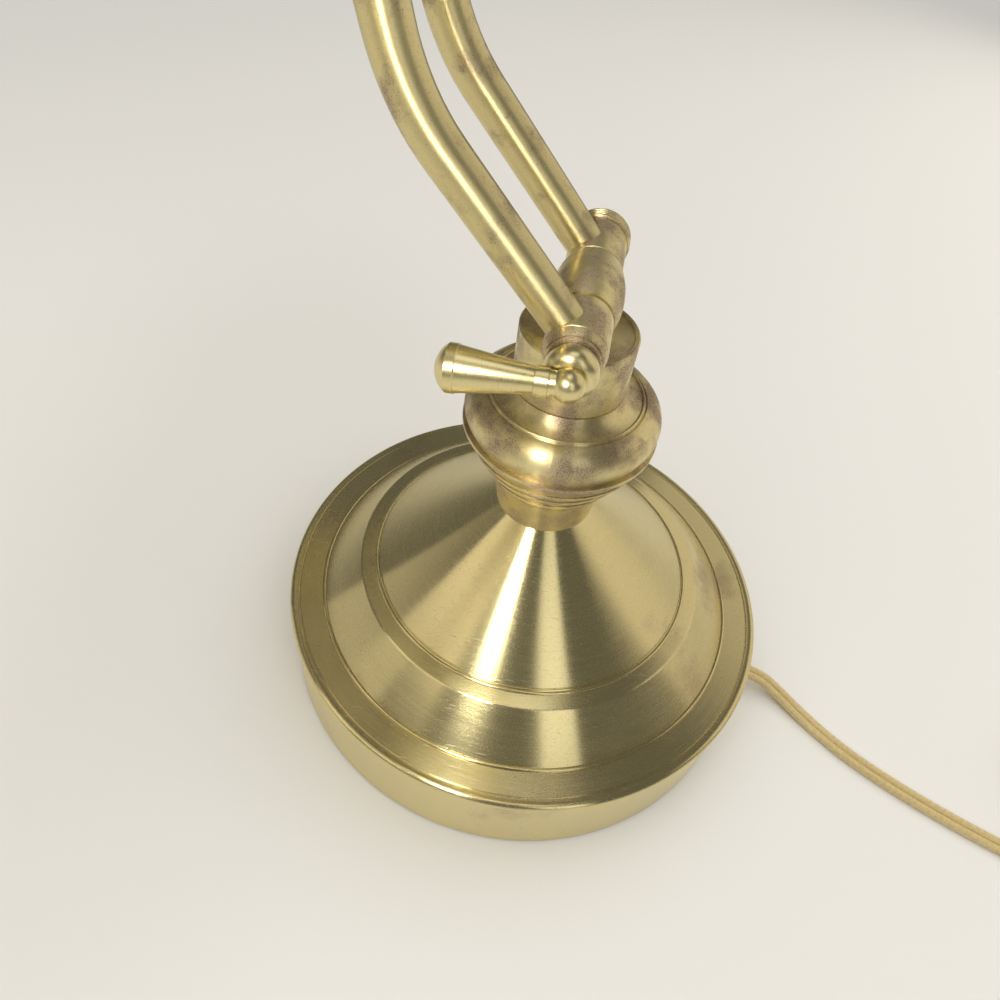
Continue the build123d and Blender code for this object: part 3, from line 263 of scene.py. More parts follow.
def arc(middle, radius, start, end, steps):
    """Points on an arc, from one angle in degrees to another."""
    turns = [math.radians(start + (end - start) * step / steps) for step in range(steps + 1)]
    return [(middle[0] + radius * math.cos(a), middle[1] + radius * math.sin(a)) for a in turns]


def inset(corner, move):
    """The point that lies in and down from a corner, by a move in mm."""
    return (corner[0] - move[0] * MM, corner[1] - move[1] * MM)


def turned_piece(name, outline, segments=360):
    """A ring turned round the Z axis from a closed outline of radii and heights."""
    count = len(outline)
    turns = [2 * math.pi * turn / segments for turn in range(segments)]
    points = [(r * math.cos(a), r * math.sin(a), z) for a in turns for r, z in outline]
    faces = []
    for turn in range(segments):
        here, there = turn * count, (turn + 1) % segments * count
        for i in range(count):
            after = (i + 1) % count
            faces.append((here + i, there + i, there + after, here + after))
    mesh = bpy.data.meshes.new(name)
    mesh.from_pydata(points, [], faces)
    mesh.shade_smooth()
    mesh.set_sharp_from_angle(angle=math.radians(SHARP_EDGE))
    return new_piece(name, mesh)


def dress(piece, body, slot, finish, *nodes):
    """Give a piece its finish and its body, and hide the CAD nodes that it stands for; slot is not used."""
    piece.data.materials.clear()
    piece.data.materials.append(finish)
    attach(piece, body)
    if nodes:
        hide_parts(*nodes)
    return piece


def paint(finish, *names):
    """Give CAD nodes that keep their shape a finish."""
    for name in names:
        mesh = frame["nodes"][name].data
        mesh.materials.clear()
        mesh.materials.append(finish)


# ---------------------------------------------------------------- finishes
def add_node(tree, kind, inputs=None, **settings):
    """Add a node with its settings; inputs maps a socket to a value or to the socket that feeds it."""
    made = tree.nodes.new(kind)
    for key, value in settings.items():
        setattr(made, key, value)
    for key, value in (inputs or {}).items():
        if isinstance(value, bpy.types.NodeSocket):
            tree.links.new(value, made.inputs[key])
        else:
            made.inputs[key].default_value = value
    return made


def new_finish(name):
    """An empty material with its surface shader and output."""
    finish = bpy.data.materials.new(name)
    finish.use_nodes = True
    tree = finish.node_tree
    tree.nodes.clear()
    shader = add_node(tree, "ShaderNodeBsdfPrincipled")
    add_node(tree, "ShaderNodeOutputMaterial", {"Surface": shader.outputs[0]})
    return finish, tree, shader


def wire_in(tree, shader, **sockets):
    """Link outputs to the shader's sockets, named with underscores for spaces."""
    for key, value in sockets.items():
        tree.links.new(value, shader.inputs[key.replace("_", " ")])


def geometry_tree(name, sizes):
    """An empty Geometry Nodes tree with named inputs; returns it, its inlets and its outlet."""
    tree = bpy.data.node_groups.new(name, "GeometryNodeTree")
    tree.interface.new_socket(name="Geometry", in_out="INPUT", socket_type="NodeSocketGeometry")
    for key, kind in sizes.items():
        tree.interface.new_socket(name=key, in_out="INPUT", socket_type="NodeSocket" + kind)
    tree.interface.new_socket(name="Geometry", in_out="OUTPUT", socket_type="NodeSocketGeometry")
    inlet = add_node(tree, "NodeGroupInput").outputs
    outlet = add_node(tree, "NodeGroupOutput").inputs[0]
    return tree, inlet, outlet


def end_tree(tree, outlet, geometry, finish):
    """End a tree with real geometry in one finish."""
    smooth = add_node(tree, "GeometryNodeSetShadeSmooth", {"Geometry": geometry}).outputs[0]
    real = add_node(tree, "GeometryNodeRealizeInstances", {"Geometry": smooth}).outputs[0]
    coated = add_node(tree, "GeometryNodeSetMaterial", {"Geometry": real, "Material": finish}).outputs[0]
    tree.links.new(coated, outlet)


def grown(host, tree, name, sizes):
    """Run a tree on a host with the given sizes, and keep the result as a plain mesh in the host's place."""
    modifier = host.modifiers.new(tree.name, "NODES")
    modifier.node_group = tree
    for item in tree.interface.items_tree:
        if item.in_out == "INPUT" and item.name in sizes:
            modifier[item.identifier] = sizes[item.name]
    bpy.context.view_layer.update()
    mesh = bpy.data.meshes.new_from_object(host.evaluated_get(bpy.context.evaluated_depsgraph_get()))
    mesh.name = name
    bpy.data.objects.remove(host)
    return new_piece(name, mesh)


def brass(name, axis="Z", centre=(0, 0, 0), dull=0.3, patch=18.0, rough=0.0, brushed=0.9, wear=0.5,
          bent=False):
    """Spun or turned brass: rings of fine grain round its axis draw reflections out across them, and
    handling and air have dulled it in pinkish patches that break up into brown speckles.

    dull is how much of it is dulled, patch the size of its patches in mm, rough what is added to the clean
    polish, brushed how far the grain draws reflections out, wear how scratched and dusty it is, and bent is
    for a bent tube, which has no one axis.
    """
    look = bpy.context.scene.lamp_finish
    finish, tree, shader = new_finish(name)

    def sums(operation, *values, clamp=False):
        return add_node(tree, "ShaderNodeMath", dict(enumerate(values)), operation=operation,
                        use_clamp=clamp).outputs[0]

    def vectors(operation, *values):
        return add_node(tree, "ShaderNodeVectorMath", dict(enumerate(values)), operation=operation).outputs

    def blend(factor, first, second, blend_type="MIX"):
        return add_node(tree, "ShaderNodeMix", {"Factor": factor, "A": first, "B": second}, data_type="RGBA",
                        blend_type=blend_type).outputs["Result"]

    def ramp(value, low, high, to_low=0.0, to_high=1.0):
        return add_node(tree, "ShaderNodeMapRange", {"Value": value, "From Min": low, "From Max": high,
                                                     "To Min": to_low, "To Max": to_high}).outputs[0]

    def noise(vector, size_mm, detail):
        return add_node(tree, "ShaderNodeTexNoise", {"Vector": vector, "Scale": 1 / (size_mm * MM),
                                                     "Detail": detail, "Roughness": ROUGH_NOISE}).outputs[0]

    coordinates = add_node(tree, "ShaderNodeTexCoord").outputs
    local = vectors("SUBTRACT", coordinates["Object"], centre)[0]
    spin = (0, 0, 1) if axis == "Z" else (1, 0, 0)
    if bent:
        # A drawn tube has fine marks without rings. It lies in a plane across X, so its own axis is square
        # to X and to its surface. The last step keeps the grain from being zero where that faces X.
        marks = noise(local, TUBE_GRAIN, 3.0)
        lengthwise = vectors("CROSS_PRODUCT", spin, coordinates["Normal"])[0]
        grain = vectors("ADD", lengthwise, (0, 0, 0.001))[0]
        shader.inputs["Anisotropic Rotation"].default_value = 0.0
    else:
        # Noise on the radius, the place along the axis and, only slowly, the way round gives fine rings.
        split = add_node(tree, "ShaderNodeSeparateXYZ", {0: local}).outputs
        across, up, along = (split[0], split[1], split[2]) if axis == "Z" else (split[1], split[2], split[0])
        flat = add_node(tree, "ShaderNodeCombineXYZ", {0: across, 1: up}).outputs[0]
        radius = vectors("LENGTH", flat)["Value"]
        ways = add_node(tree, "ShaderNodeSeparateXYZ", {0: vectors("NORMALIZE", flat)[0]}).outputs
        rings = 1.0 / look.grain
        lines = add_node(tree, "ShaderNodeCombineXYZ", {
            0: sums("MULTIPLY", radius, rings), 1: sums("MULTIPLY", along, rings),
            2: sums("MULTIPLY", ways[0], GRAIN_CHANGE)}).outputs[0]
        marks = add_node(tree, "ShaderNodeTexNoise", {
            "Vector": lines, "W": sums("MULTIPLY", ways[1], GRAIN_CHANGE), "Scale": 1.0, "Detail": 3.0,
            "Roughness": ROUGH_NOISE}, noise_dimensions="4D").outputs[0]
        # The grain runs round the axis, so reflections are drawn out a quarter turn from it.
        grain = vectors("CROSS_PRODUCT", spin, local)[0]
        shader.inputs["Anisotropic Rotation"].default_value = 0.25
    # The patches take in more of the noise as the brass gets duller, and have soft edges.
    low = 0.74 - 0.45 * dull
    dulling = ramp(noise(local, patch, 4.0), low, low + 0.22)
    # Speckles of under half a millimetre gather where the brass is dull.
    speckle = ramp(sums("MULTIPLY_ADD", dulling, 0.16, noise(local, SPECKLE, 2.0)), 0.6, 0.74)
    # Short scratches run one way; specks of dust lie about a centimetre apart.
    scored = add_node(tree, "ShaderNodeMapping", {"Vector": local, "Rotation": (0.3, 0.2, 0.7),
                                                  "Scale": (1.0, 0.03, 0.3)}).outputs[0]
    scratch = sums("MULTIPLY", ramp(noise(scored, SCRATCH, 1.0), 0.7, 0.78), wear, clamp=True)
    cells = add_node(tree, "ShaderNodeTexVoronoi", {
        "Vector": local, "Scale": 1 / (DUST_SPACING * MM)}).outputs
    chosen = add_node(tree, "ShaderNodeSeparateColor", {0: cells["Color"]}).outputs[0]
    speck = sums("MULTIPLY", ramp(cells["Distance"], 0.045, 0.03),
                 sums("GREATER_THAN", chosen, 1.0 - 0.3 * wear))
    # Colour: clean to dulled brass, then grime, scratches, dust and the faint shade of the marks.
    tone = blend(dulling, look.brass, look.dulled)
    tone = blend(sums("MULTIPLY", speckle, 0.25 + 0.3 * dull), tone, look.grime)
    tone = blend(sums("MULTIPLY", scratch, 0.5), tone, look.dust)
    tone = blend(speck, tone, look.dust)
    tone = blend(1.0, tone, ramp(marks, NOISE_LOW, NOISE_HIGH, 0.93, 1.02), "MULTIPLY")
    # Roughness: the polish varies a little with the marks, and tarnish, grime and scratches add to it.
    polish = look.polish + rough
    clean = ramp(marks, NOISE_LOW, NOISE_HIGH, polish - 0.02, polish + 0.04)
    hazy = sums("MULTIPLY_ADD", dulling, 0.13, clean)
    roughness = sums("MULTIPLY_ADD", speckle, 0.12, sums("MULTIPLY_ADD", scratch, 0.15, hazy))
    bump = add_node(tree, "ShaderNodeBump", {
        "Strength": 0.2, "Distance": 0.02 * MM, "Height": marks}).outputs[0]
    shader.inputs["Metallic"].default_value = 1.0
    shader.inputs["Anisotropic"].default_value = brushed
    tangent = add_node(tree, "ShaderNodeVectorTransform", {0: grain}, vector_type="VECTOR",
                       convert_from="OBJECT", convert_to="WORLD").outputs[0]
    wire_in(tree, shader, Base_Color=tone, Roughness=roughness, Normal=bump, Tangent=tangent)
    return finish


def line_inside(finish, look):
    """White baked enamel on the inside of the half-round shade, down to the bare hem."""
    tree = finish.node_tree
    shader = next(made for made in tree.nodes if made.type == "BSDF_PRINCIPLED")
    spot = add_node(tree, "ShaderNodeTexCoord").outputs["Object"]
    local = add_node(tree, "ShaderNodeVectorMath", {0: spot, 1: SHADE_AXIS}, operation="SUBTRACT").outputs[0]
    x, y, z = add_node(tree, "ShaderNodeSeparateXYZ", {0: local}).outputs
    dome = add_node(tree, "ShaderNodeMath", {0: z, 1: 0.0}, operation="MAXIMUM").outputs[0]
    flat = add_node(tree, "ShaderNodeCombineXYZ", {0: y, 1: dome}).outputs[0]
    radius = add_node(tree, "ShaderNodeVectorMath", {0: flat}, operation="LENGTH").outputs["Value"]
    reach = add_node(tree, "ShaderNodeMath", {0: x}, operation="ABSOLUTE").outputs[0]
    half_length = (SHADE_HIGH.x - SHADE_LOW.x) / 2
    inner = SHADE_R - look.wall / 2
    inside = add_node(tree, "ShaderNodeMath", {0: radius, 1: inner}, operation="LESS_THAN").outputs[0]
    between = add_node(tree, "ShaderNodeMath", {0: reach, 1: half_length + look.wall / 2},
                       operation="LESS_THAN").outputs[0]
    above = add_node(tree, "ShaderNodeMath", {0: z, 1: SHADE_LOW.z - SHADE_AXIS.z + look.hem},
                     operation="GREATER_THAN").outputs[0]
    mask = add_node(tree, "ShaderNodeMath", {0: inside, 1: between}, operation="MULTIPLY").outputs[0]
    mask = add_node(tree, "ShaderNodeMath", {0: mask, 1: above}, operation="MULTIPLY").outputs[0]
    bare = shader.inputs["Base Color"].links[0].from_socket
    rough = shader.inputs["Roughness"].links[0].from_socket
    colour = add_node(tree, "ShaderNodeMix", {"Factor": mask, "A": bare, "B": look.lining},
                      data_type="RGBA").outputs["Result"]
    gloss = add_node(tree, "ShaderNodeMix", {"Factor": mask, "A": rough, "B": ENAMEL_ROUGHNESS},
                     data_type="FLOAT").outputs[0]
    metal = add_node(tree, "ShaderNodeMath", {0: 1.0, 1: mask}, operation="SUBTRACT").outputs[0]
    wire_in(tree, shader, Base_Color=colour, Roughness=gloss, Metallic=metal)


def plain_finish(name, colour, metallic=0.0, rough=0.5, bump_mm=0.0, bump_size_mm=1.0, mottle=0.06,
                 **constants):
    """A finish of one colour with fine mottling, and the bump of its cast, moulded or drawn surface."""
    finish, tree, shader = new_finish(name)
    spot = add_node(tree, "ShaderNodeTexCoord").outputs["Object"]
    cloud = add_node(tree, "ShaderNodeTexNoise", {"Vector": spot, "Scale": 1 / (bump_size_mm * MM),
                                                  "Detail": 4.0}).outputs[0]
    shade = add_node(tree, "ShaderNodeMapRange", {
        "Value": cloud, "From Min": NOISE_LOW, "From Max": NOISE_HIGH, "To Min": 1 - mottle,
        "To Max": 1 + mottle}).outputs[0]
    tone = add_node(tree, "ShaderNodeMix", {"Factor": 1.0, "A": colour, "B": shade}, data_type="RGBA",
                    blend_type="MULTIPLY").outputs["Result"]
    roughness = add_node(tree, "ShaderNodeMapRange", {
        "Value": cloud, "From Min": NOISE_LOW, "From Max": NOISE_HIGH, "To Min": rough - 0.05,
        "To Max": rough + 0.05}).outputs[0]
    bump = add_node(tree, "ShaderNodeBump", {
        "Strength": 0.6, "Distance": bump_mm * MM, "Height": cloud}).outputs[0]
    shader.inputs["Metallic"].default_value = metallic
    for key, value in constants.items():
        shader.inputs[key.replace("_", " ")].default_value = value
    wire_in(tree, shader, Base_Color=tone, Roughness=roughness, Normal=bump)
    return finish


# ---------------------------------------------------------------- operators
class LAMP_OT_stage(bpy.types.Operator):
    """Make the floor, the soft lights and the camera"""

    bl_idname = "lamp.stage"
    bl_label = "Studio"

    def execute(self, context):
        stage = context.scene.lamp_stage
        mesh = bpy.data.meshes.new("floor")
        corners = [(-FLOOR_REACH, -FLOOR_REACH, 0), (FLOOR_REACH, -FLOOR_REACH, 0),
                   (FLOOR_REACH, FLOOR_REACH, 0), (-FLOOR_REACH, FLOOR_REACH, 0)]
        mesh.from_pydata(corners, [], [(0, 1, 2, 3)])
        floor = new_piece("floor", mesh)
        finish, _, shader = new_finish("pale_floor")
        shader.inputs["Base Color"].default_value = stage.floor
        shader.inputs["Roughness"].default_value = FLOOR_ROUGHNESS
        mesh.materials.append(finish)
        world = context.scene.world or bpy.data.worlds.new("studio")
        context.scene.world = world
        world.use_nodes = True
        room = world.node_tree.nodes["Background"]
        room.inputs["Color"].default_value = stage.white
        room.inputs["Strength"].default_value = stage.room_light
        lamps = {name: self.lamp(name, getattr(stage, name), getattr(stage, colour), *placing)
                 for name, (colour, *placing) in LAMPS.items()}
        # The wide sky lights without a reflection, and the small lamp in front only draws highlights.
        lamps["sky"].visible_glossy = False
        lamps["front"].visible_diffuse = False
        lens = bpy.data.cameras.new("camera")
        lens.sensor_width = SENSOR_MM
        lens.lens = LENS_MM
        lens.clip_start = NEAR_CLIP
        camera = bpy.data.objects.new("camera", lens)
        context.scene.collection.objects.link(camera)
        forward = Vector(CAMERA_FORWARD).normalized()
        right = Vector(CAMERA_RIGHT)
        right = (right - right.dot(forward) * forward).normalized()
        up = right.cross(forward)
        camera.matrix_world = Matrix.Translation(CAMERA_PLACE) @ Matrix(
            (right, up, -forward)).transposed().to_4x4()
        context.scene.camera = camera
        context.scene.view_settings.view_transform = "Standard"
        return {"FINISHED"}

    def lamp(self, name, brightness, colour, size, place, target):
        """One soft lamp that faces its target; its power follows from its size and brightness."""
        light = bpy.data.lights.new(name, "AREA")
        light.shape = "RECTANGLE"
        light.size, light.size_y = size
        light.energy = math.pi * size[0] * size[1] * brightness
        light.color = colour[:3]
        lamp = bpy.data.objects.new(name, light)
        lamp.visible_camera = False
        lamp.location = place
        lamp.rotation_euler = (Vector(target) - Vector(place)).to_track_quat("-Z", "Y").to_euler()
        bpy.context.scene.collection.objects.link(lamp)
        return lamp


class LAMP_OT_base(bpy.types.Operator):
    """Spin the brass base and finish what it holds"""

    bl_idname = "lamp.base"
    bl_label = "Base"

    def execute(self, context):
        look = context.scene.lamp_finish
        shell = turned_piece("base_spun", self.outline(context.scene.lamp_base))
        spun = brass("spun_brass_base", dull=0.32, patch=45, rough=0.01, brushed=0.93, wear=1.0)
        dress(shell, "base", "brass", spun, "base_shell")
        # Black sand-cast iron: matt, with a pebbly skin.
        paint(plain_finish("cast_iron", linear("2B2A2A"), rough=0.6, bump_mm=0.3, bump_size_mm=2.0),
              "base_weight")
        # Pressed wool felt: no shine, a soft edge of light and small tufts.
        paint(plain_finish("pressed_felt", look.felt, rough=0.95, bump_mm=0.25, bump_size_mm=0.6,
                           mottle=0.25, Sheen_Weight=0.4), "base_felt")
        # Fibre board: dull brown and nearly smooth.
        paint(plain_finish("fibre_board", linear("4A3D30"), rough=0.8, bump_mm=0.05, bump_size_mm=0.8),
              "base_plate")
        return {"FINISHED"}

    def outline(self, size):
        """The shell's profile: up the outside with its beads and grooves, and down the inside."""
        foot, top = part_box("base_shell")[0].z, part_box("base_shell")[1].z
        rim, band = (size.rim, size.rim_height), (size.band, size.rim_height)
        step, cone = (size.step, size.step_height), (size.cone, size.cone_height)
        wall, groove = size.wall, size.groove
        bead = inset(rim, RIM_BEAD)
        outer = [(rim[0], foot), (rim[0], bead[1] - SKIRT_TOP * MM)]
        outer += arc(bead, size.rim_bead, *RIM_BEAD_ARC)
        outer += arc((bead[0] - size.rim_bead - groove, rim[1]), groove, *RIM_GROOVE_ARC)
        # The bead inside the flat band runs on into the slope, whose top is softened.
        outer += arc(band, size.band_bead, *BAND_BEAD_ARC)
        lean = (Vector(step) - Vector(band)).normalized()
        outer += [tuple(Vector(step) - lean * SLOPE_SOFT * MM), inset(step, STEP_CORNER),
                  inset(step, STEP_TOP)]
        outer += arc(inset(cone, CONE_BEAD), size.cone_bead, *CONE_BEAD_ARC)
        rise = (top - cone[1]) / (cone[0] - size.neck)
        cut = size.cone_bead + groove
        outer += arc((cone[0] - cut, cone[1] + cut * rise), groove, *CONE_GROOVE_ARC)
        outer += [(size.neck, top), (size.bore, top)]
        inner = [(size.bore, top - wall), (size.neck - INNER_NECK * MM, top - wall),
                 inset(cone, INNER_CONE), inset(step, INNER_STEP),
                 (band[0] - INNER_BAND * MM, band[1] - wall), (rim[0] - wall, band[1] - wall),
                 (rim[0] - wall, foot)]
        return outer + inner


class LAMP_OT_vase(bpy.types.Operator):
    """Finish the turned neck, the bowl and the saddle head"""

    bl_idname = "lamp.vase"
    bl_label = "Vase"

    def execute(self, context):
        paint(brass("turned_brass_neck", dull=0.75, patch=14, rough=0.08, brushed=0.8), "neck_turning")
        paint(brass("turned_brass_vase", dull=0.75, patch=11, rough=0.12, brushed=0.8), "vase_bowl",
              "saddle_head")
        return {"FINISHED"}


class LAMP_OT_arm(bpy.types.Operator):
    """Finish the crossbars, the bent tubes and the clamp keys"""

    bl_idname = "lamp.arm"
    bl_label = "Arm and joints"

    def execute(self, context):
        for bar, centre in (("lower", LOWER_BAR), ("upper", UPPER_BAR)):
            joint = brass("turned_brass_%s_joint" % bar, "X", centre, dull=0.75, patch=10, rough=0.14,
                          brushed=0.7)
            paint(joint, bar + "_barrel", bar + "_near_hub", bar + "_far_hub", bar + "_far_cap",
                  bar + "_washer_ring")
            # Hands keep the collar and the key brighter than the rest of the joint.
            paint(brass("turned_brass_%s_collar" % bar, "X", centre, dull=0.35, patch=10, rough=0.08,
                        brushed=0.6), bar + "_collar")
            paint(brass("cast_brass_%s_key" % bar, "X", centre, dull=0.35, patch=10, rough=0.08,
                        brushed=0.0), bar + "_key")
        tube = brass("drawn_brass_tube", "X", (LOWER_BAR + UPPER_BAR) / 2, dull=0.45, patch=9, rough=0.2,
                     brushed=0.9, bent=True)
        paint(tube, "near_tube", "far_tube")
        return {"FINISHED"}


class LAMP_OT_shade(bpy.types.Operator):
    """Finish the half-round shade, the lampholder and the bulb"""

    bl_idname = "lamp.shade"
    bl_label = "Shade and bulb"

    def execute(self, context):
        look = context.scene.lamp_finish
        shade = brass("rolled_brass_shade", "X", SHADE_AXIS, dull=0.3, patch=30, brushed=0.5)
        line_inside(shade, look)
        paint(shade, "shade_shell", "shade_end_near", "shade_end_far")
        paint(brass("turned_brass_fittings", "Z", KNOB_AXIS, dull=0.3, patch=12, brushed=0.3), "crown_collar",
              "socket_shell", "socket_nut_outer", "socket_contact")
        # Acid-frosted glass: white and soft, and light comes through.
        paint(plain_finish("frosted_glass", linear("F4F1E8"), rough=0.45, mottle=0.02,
                           Transmission_Weight=0.6), "bulb_glass")
        # Drawn aluminium: pale grey and satin.
        paint(plain_finish("aluminium_cap", linear("C9C9C6"), metallic=1.0, rough=0.3, bump_mm=0.02,
                           bump_size_mm=0.5), "bulb_cap")
        # Moulded phenolic: black-brown with a low shine.
        paint(plain_finish("phenolic", linear("1A1614"), rough=0.35, bump_mm=0.02, bump_size_mm=0.5),
              "socket_insert")
        return {"FINISHED"}


class LAMP_OT_switch(bpy.types.Operator):
    """Finish the rotary switch and knurl its ring nut"""

    bl_idname = "lamp.switch"
    bl_label = "Switch"

    def execute(self, context):
        size = context.scene.lamp_knurl
        finish = brass("turned_brass_switch", "Z", KNOB_AXIS, dull=0.25, patch=12, brushed=0.3)
        paint(finish, "switch_nut", "switch_knob")
        # Moulded phenolic: black-brown with a low shine.
        paint(plain_finish("phenolic_switch", linear("1A1614"), rough=0.35, bump_mm=0.02, bump_size_mm=0.5),
              "switch_body")
        tree, inlet, outlet = geometry_tree("knurl", {"Ridges": "Int", "Ridge radius": "Float",
                                                      "Circle radius": "Float", "Height": "Float"})
        circle = add_node(tree, "GeometryNodeCurvePrimitiveCircle", {
            "Resolution": inlet["Ridges"], "Radius": inlet["Circle radius"]}).outputs[0]
        places = add_node(tree, "GeometryNodeCurveToPoints", {"Curve": circle}, mode="EVALUATED").outputs[0]
        ridge = add_node(tree, "GeometryNodeMeshCylinder", {
            "Vertices": RIDGE_SIDES, "Radius": inlet["Ridge radius"],
            "Depth": inlet["Height"]}).outputs["Mesh"]
        ridges = add_node(tree, "GeometryNodeInstanceOnPoints", {
            "Points": places, "Instance": ridge}).outputs[0]
        middle = (KNOB_AXIS.x, KNOB_AXIS.y, NUT_TOP - size.nut_height / 2)
        moved = add_node(tree, "GeometryNodeTransform", {
            "Geometry": ridges, "Translation": middle}).outputs[0]
        end_tree(tree, outlet, moved, finish)
        host = new_piece("knurl_host", bpy.data.meshes.new("knurl_host"))
        knurl = grown(host, tree, "switch_knurl", {"Ridges": size.ridges, "Ridge radius": size.ridge_radius,
                                                   "Circle radius": size.nut_radius - size.ridge_radius / 2,
                                                   "Height": size.nut_height - KNURL_MARGIN * MM})
        dress(knurl, "shade", "brass", finish)
        return {"FINISHED"}


class LAMP_OT_fixings(bpy.types.Operator):
    """Finish the threaded tube, bolts, nuts, washers and inner wires"""

    bl_idname = "lamp.fixings"
    bl_label = "Fixings"

    def execute(self, context):
        # Zinc-plated steel: grey with a faint yellow and a satin shine.
        zinc = plain_finish("zinc_plated_steel", linear("B9B6A8"), metallic=1.0, rough=0.34, bump_mm=0.02,
                            bump_size_mm=0.4)
        paint(zinc, "centre_nipple", "nipple_washer", "nipple_nut", "lower_bolt", "upper_bolt", "stem_washer",
              "stem_nut", "socket_post", "socket_nut_inner")
        # PVC insulation on the inner wires: cream and half matt.
        paint(plain_finish("wire_cover", linear("E7E2D2"), bump_mm=0.01, bump_size_mm=0.5), "lead_base",
              "lead_arm", "lead_shade", "lead_socket")
        return {"FINISHED"}


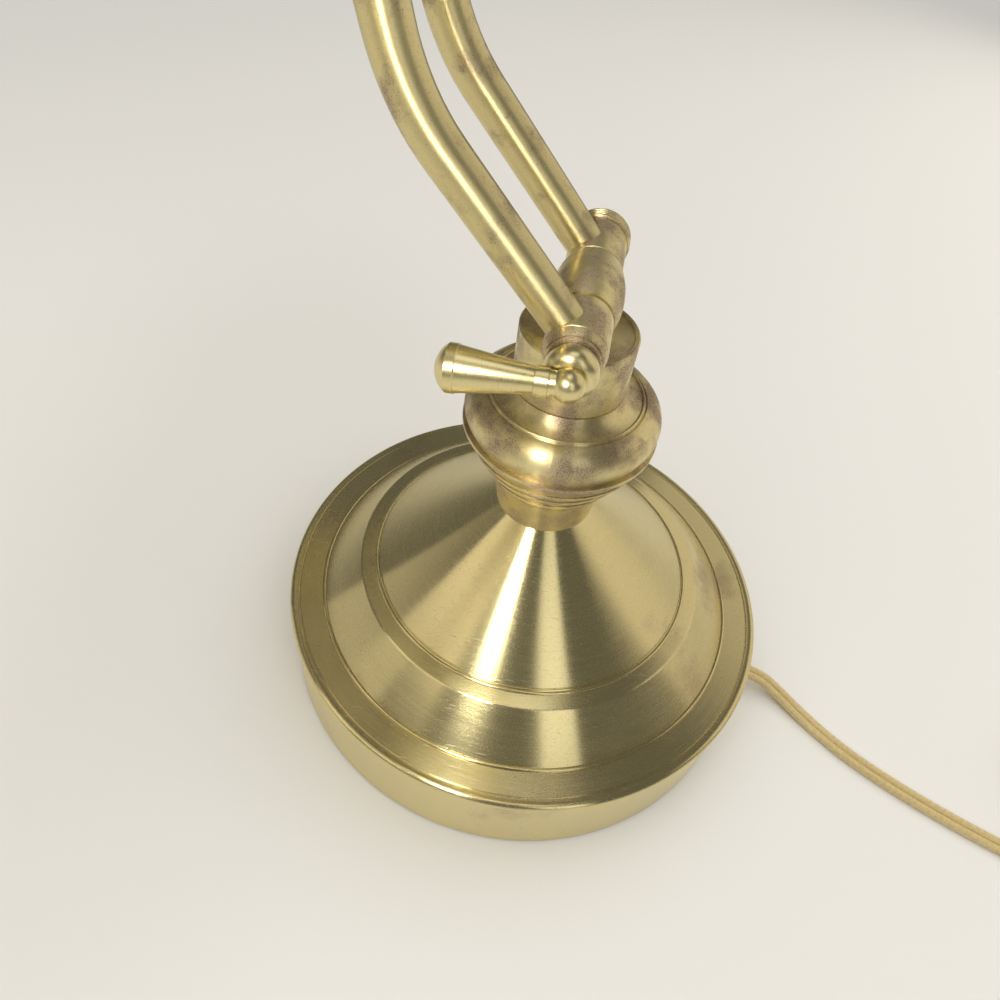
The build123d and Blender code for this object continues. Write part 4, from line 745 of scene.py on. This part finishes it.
class LAMP_OT_cord(bpy.types.Operator):
    """Lay the flat supply cord along its route and wind its spare length"""

    bl_idname = "lamp.cord"
    bl_label = "Supply cord"

    def execute(self, context):
        size = context.scene.lamp_cord
        look = context.scene.lamp_finish
        lie = size.thickness / 2 / MM + CORD_LIFT
        route = CORD_EXIT + [(x, y, lie) for x, y in CORD_ON_FLOOR] + self.winding(size, lie)
        line = bpy.data.curves.new("cord_line", "CURVE")
        line.dimensions = "3D"
        line.resolution_u = 4
        spline = line.splines.new("NURBS")
        spline.points.add(len(route) - 1)
        for point, place in zip(spline.points, route):
            point.co = (*[value * MM for value in place], 1.0)
        spline.order_u = 3
        spline.use_endpoint_u = True
        guide = new_piece("cord_guide", line)
        bpy.context.view_layer.update()
        traced = bpy.data.meshes.new_from_object(guide.evaluated_get(bpy.context.evaluated_depsgraph_get()))
        bpy.data.meshes.remove(traced)
        # Extruded clear PVC over copper strands: golden, with a wet-looking shine.
        finish = plain_finish("clear_gold_pvc", look.flex, rough=0.28, bump_mm=0.02, bump_size_mm=1.5,
                              mottle=0.05, Coat_Weight=0.4, Coat_Roughness=0.15)
        tree, inlet, outlet = geometry_tree("twin_cord", {"Core radius": "Float", "Core offset": "Float"})
        level = add_node(tree, "GeometryNodeSetCurveNormal", {
            "Curve": inlet["Geometry"]}, mode="Z_UP").outputs[0]
        core = add_node(tree, "GeometryNodeCurvePrimitiveCircle", {
            "Resolution": CORE_SIDES, "Radius": inlet["Core radius"]}).outputs[0]
        cores = tree.nodes.new("GeometryNodeJoinGeometry")
        for side in (-1.0, 1.0):
            aside = add_node(tree, "ShaderNodeMath", {0: inlet["Core offset"], 1: side},
                             operation="MULTIPLY").outputs[0]
            shift = add_node(tree, "ShaderNodeCombineXYZ", {0: aside}).outputs[0]
            moved = add_node(tree, "GeometryNodeTransform", {
                "Geometry": core, "Translation": shift}).outputs[0]
            tree.links.new(moved, cores.inputs[0])
        swept = add_node(tree, "GeometryNodeCurveToMesh", {
            "Curve": level, "Profile Curve": cores.outputs[0], "Fill Caps": True}).outputs[0]
        end_tree(tree, outlet, swept, finish)
        core_radius = size.thickness / 2
        flex = grown(guide, tree, "supply_cord", {"Core radius": core_radius,
                                                  "Core offset": size.width / 2 - core_radius})
        dress(flex, "base", "cord", finish, "cord_tube", "cord_coil")
        # Moulded PVC: an olive gold with a dull shine.
        moulded = plain_finish("moulded_pvc", look.plug, rough=0.4, bump_mm=0.02, bump_size_mm=0.6,
                               mottle=0.04)
        paint(moulded, "plug_body", "cord_bushing")
        # Stamped brass blades: bright and smooth.
        paint(plain_finish("brass_blade", linear("CDB268"), metallic=1.0, rough=0.25, bump_mm=0.01,
                           bump_size_mm=0.4), "plug_blades")
        return {"FINISHED"}

    def winding(self, size, lie):
        """Control points of the coil: the cord moves to its next place before it comes round again."""
        x, y = size.coil_x / MM, size.coil_y / MM
        outer, inner = size.outer_turn / MM, size.inner_turn / MM
        rise = size.thickness / MM + LAYER_GAP
        # Each place is a radius and a layer, filled in and out in turn so that the cord never jumps far.
        places = [(outer, 0), (inner, 0), (inner, 1), (outer, 1), (outer, 2), (inner, 2), (inner, 3),
                  (outer, 3)]
        step = 360.0 / size.turn_points
        points = []
        angle = step * FIRST_ANGLE
        while angle < LAST_ANGLE:
            radius, layer = places[min(int((angle + SHORTER) / STRETCH), len(places) - 1)]
            height = lie + rise * layer
            if angle > LEAVE_ANGLE:
                height += (angle - LEAVE_ANGLE) / (LAST_ANGLE - LEAVE_ANGLE) * LEAVE_RISE
            turned = math.radians(angle)
            points.append((x + radius * math.cos(turned), y + radius * math.sin(turned), height))
            angle += step
        points.append((x + PLUG_ENTRY[0], y + PLUG_ENTRY[1], PLUG_ENTRY[2]))
        return points


class LAMP_PT_panel(bpy.types.Panel):
    """Lists the lamp's pieces and their settings"""

    bl_label = "Piano Lamp"
    bl_idname = "LAMP_PT_panel"
    bl_space_type = "VIEW_3D"
    bl_region_type = "UI"
    bl_category = "Piano Lamp"

    def draw(self, context):
        for operator in OPERATORS:
            self.layout.operator(operator.bl_idname)
        for name in GROUPS:
            settings = getattr(context.scene, name)
            box = self.layout.box()
            for key in settings.__annotations__:
                box.prop(settings, key)


GROUPS = {"lamp_finish": LampFinish, "lamp_base": LampBase, "lamp_knurl": LampKnurl,
          "lamp_cord": LampCord, "lamp_stage": LampStage}
OPERATORS = [LAMP_OT_stage, LAMP_OT_cord, LAMP_OT_base, LAMP_OT_vase, LAMP_OT_arm, LAMP_OT_shade,
             LAMP_OT_switch, LAMP_OT_fixings]


def register():
    """Register the settings, the operators and the panel."""
    for name, group in GROUPS.items():
        bpy.utils.register_class(group)
        setattr(bpy.types.Scene, name, PointerProperty(type=group))
    for part in OPERATORS + [LAMP_PT_panel]:
        bpy.utils.register_class(part)


def unregister():
    """Take everything back out."""
    for part in reversed(OPERATORS + [LAMP_PT_panel]):
        bpy.utils.unregister_class(part)
    for name, group in GROUPS.items():
        delattr(bpy.types.Scene, name)
        bpy.utils.unregister_class(group)


def main():
    """Make the whole lamp."""
    register()
    for operator in OPERATORS:
        group, name = operator.bl_idname.split(".")
        getattr(getattr(bpy.ops, group), name)()
    bpy.context.view_layer.update()


if __name__ == "__main__":
    main()
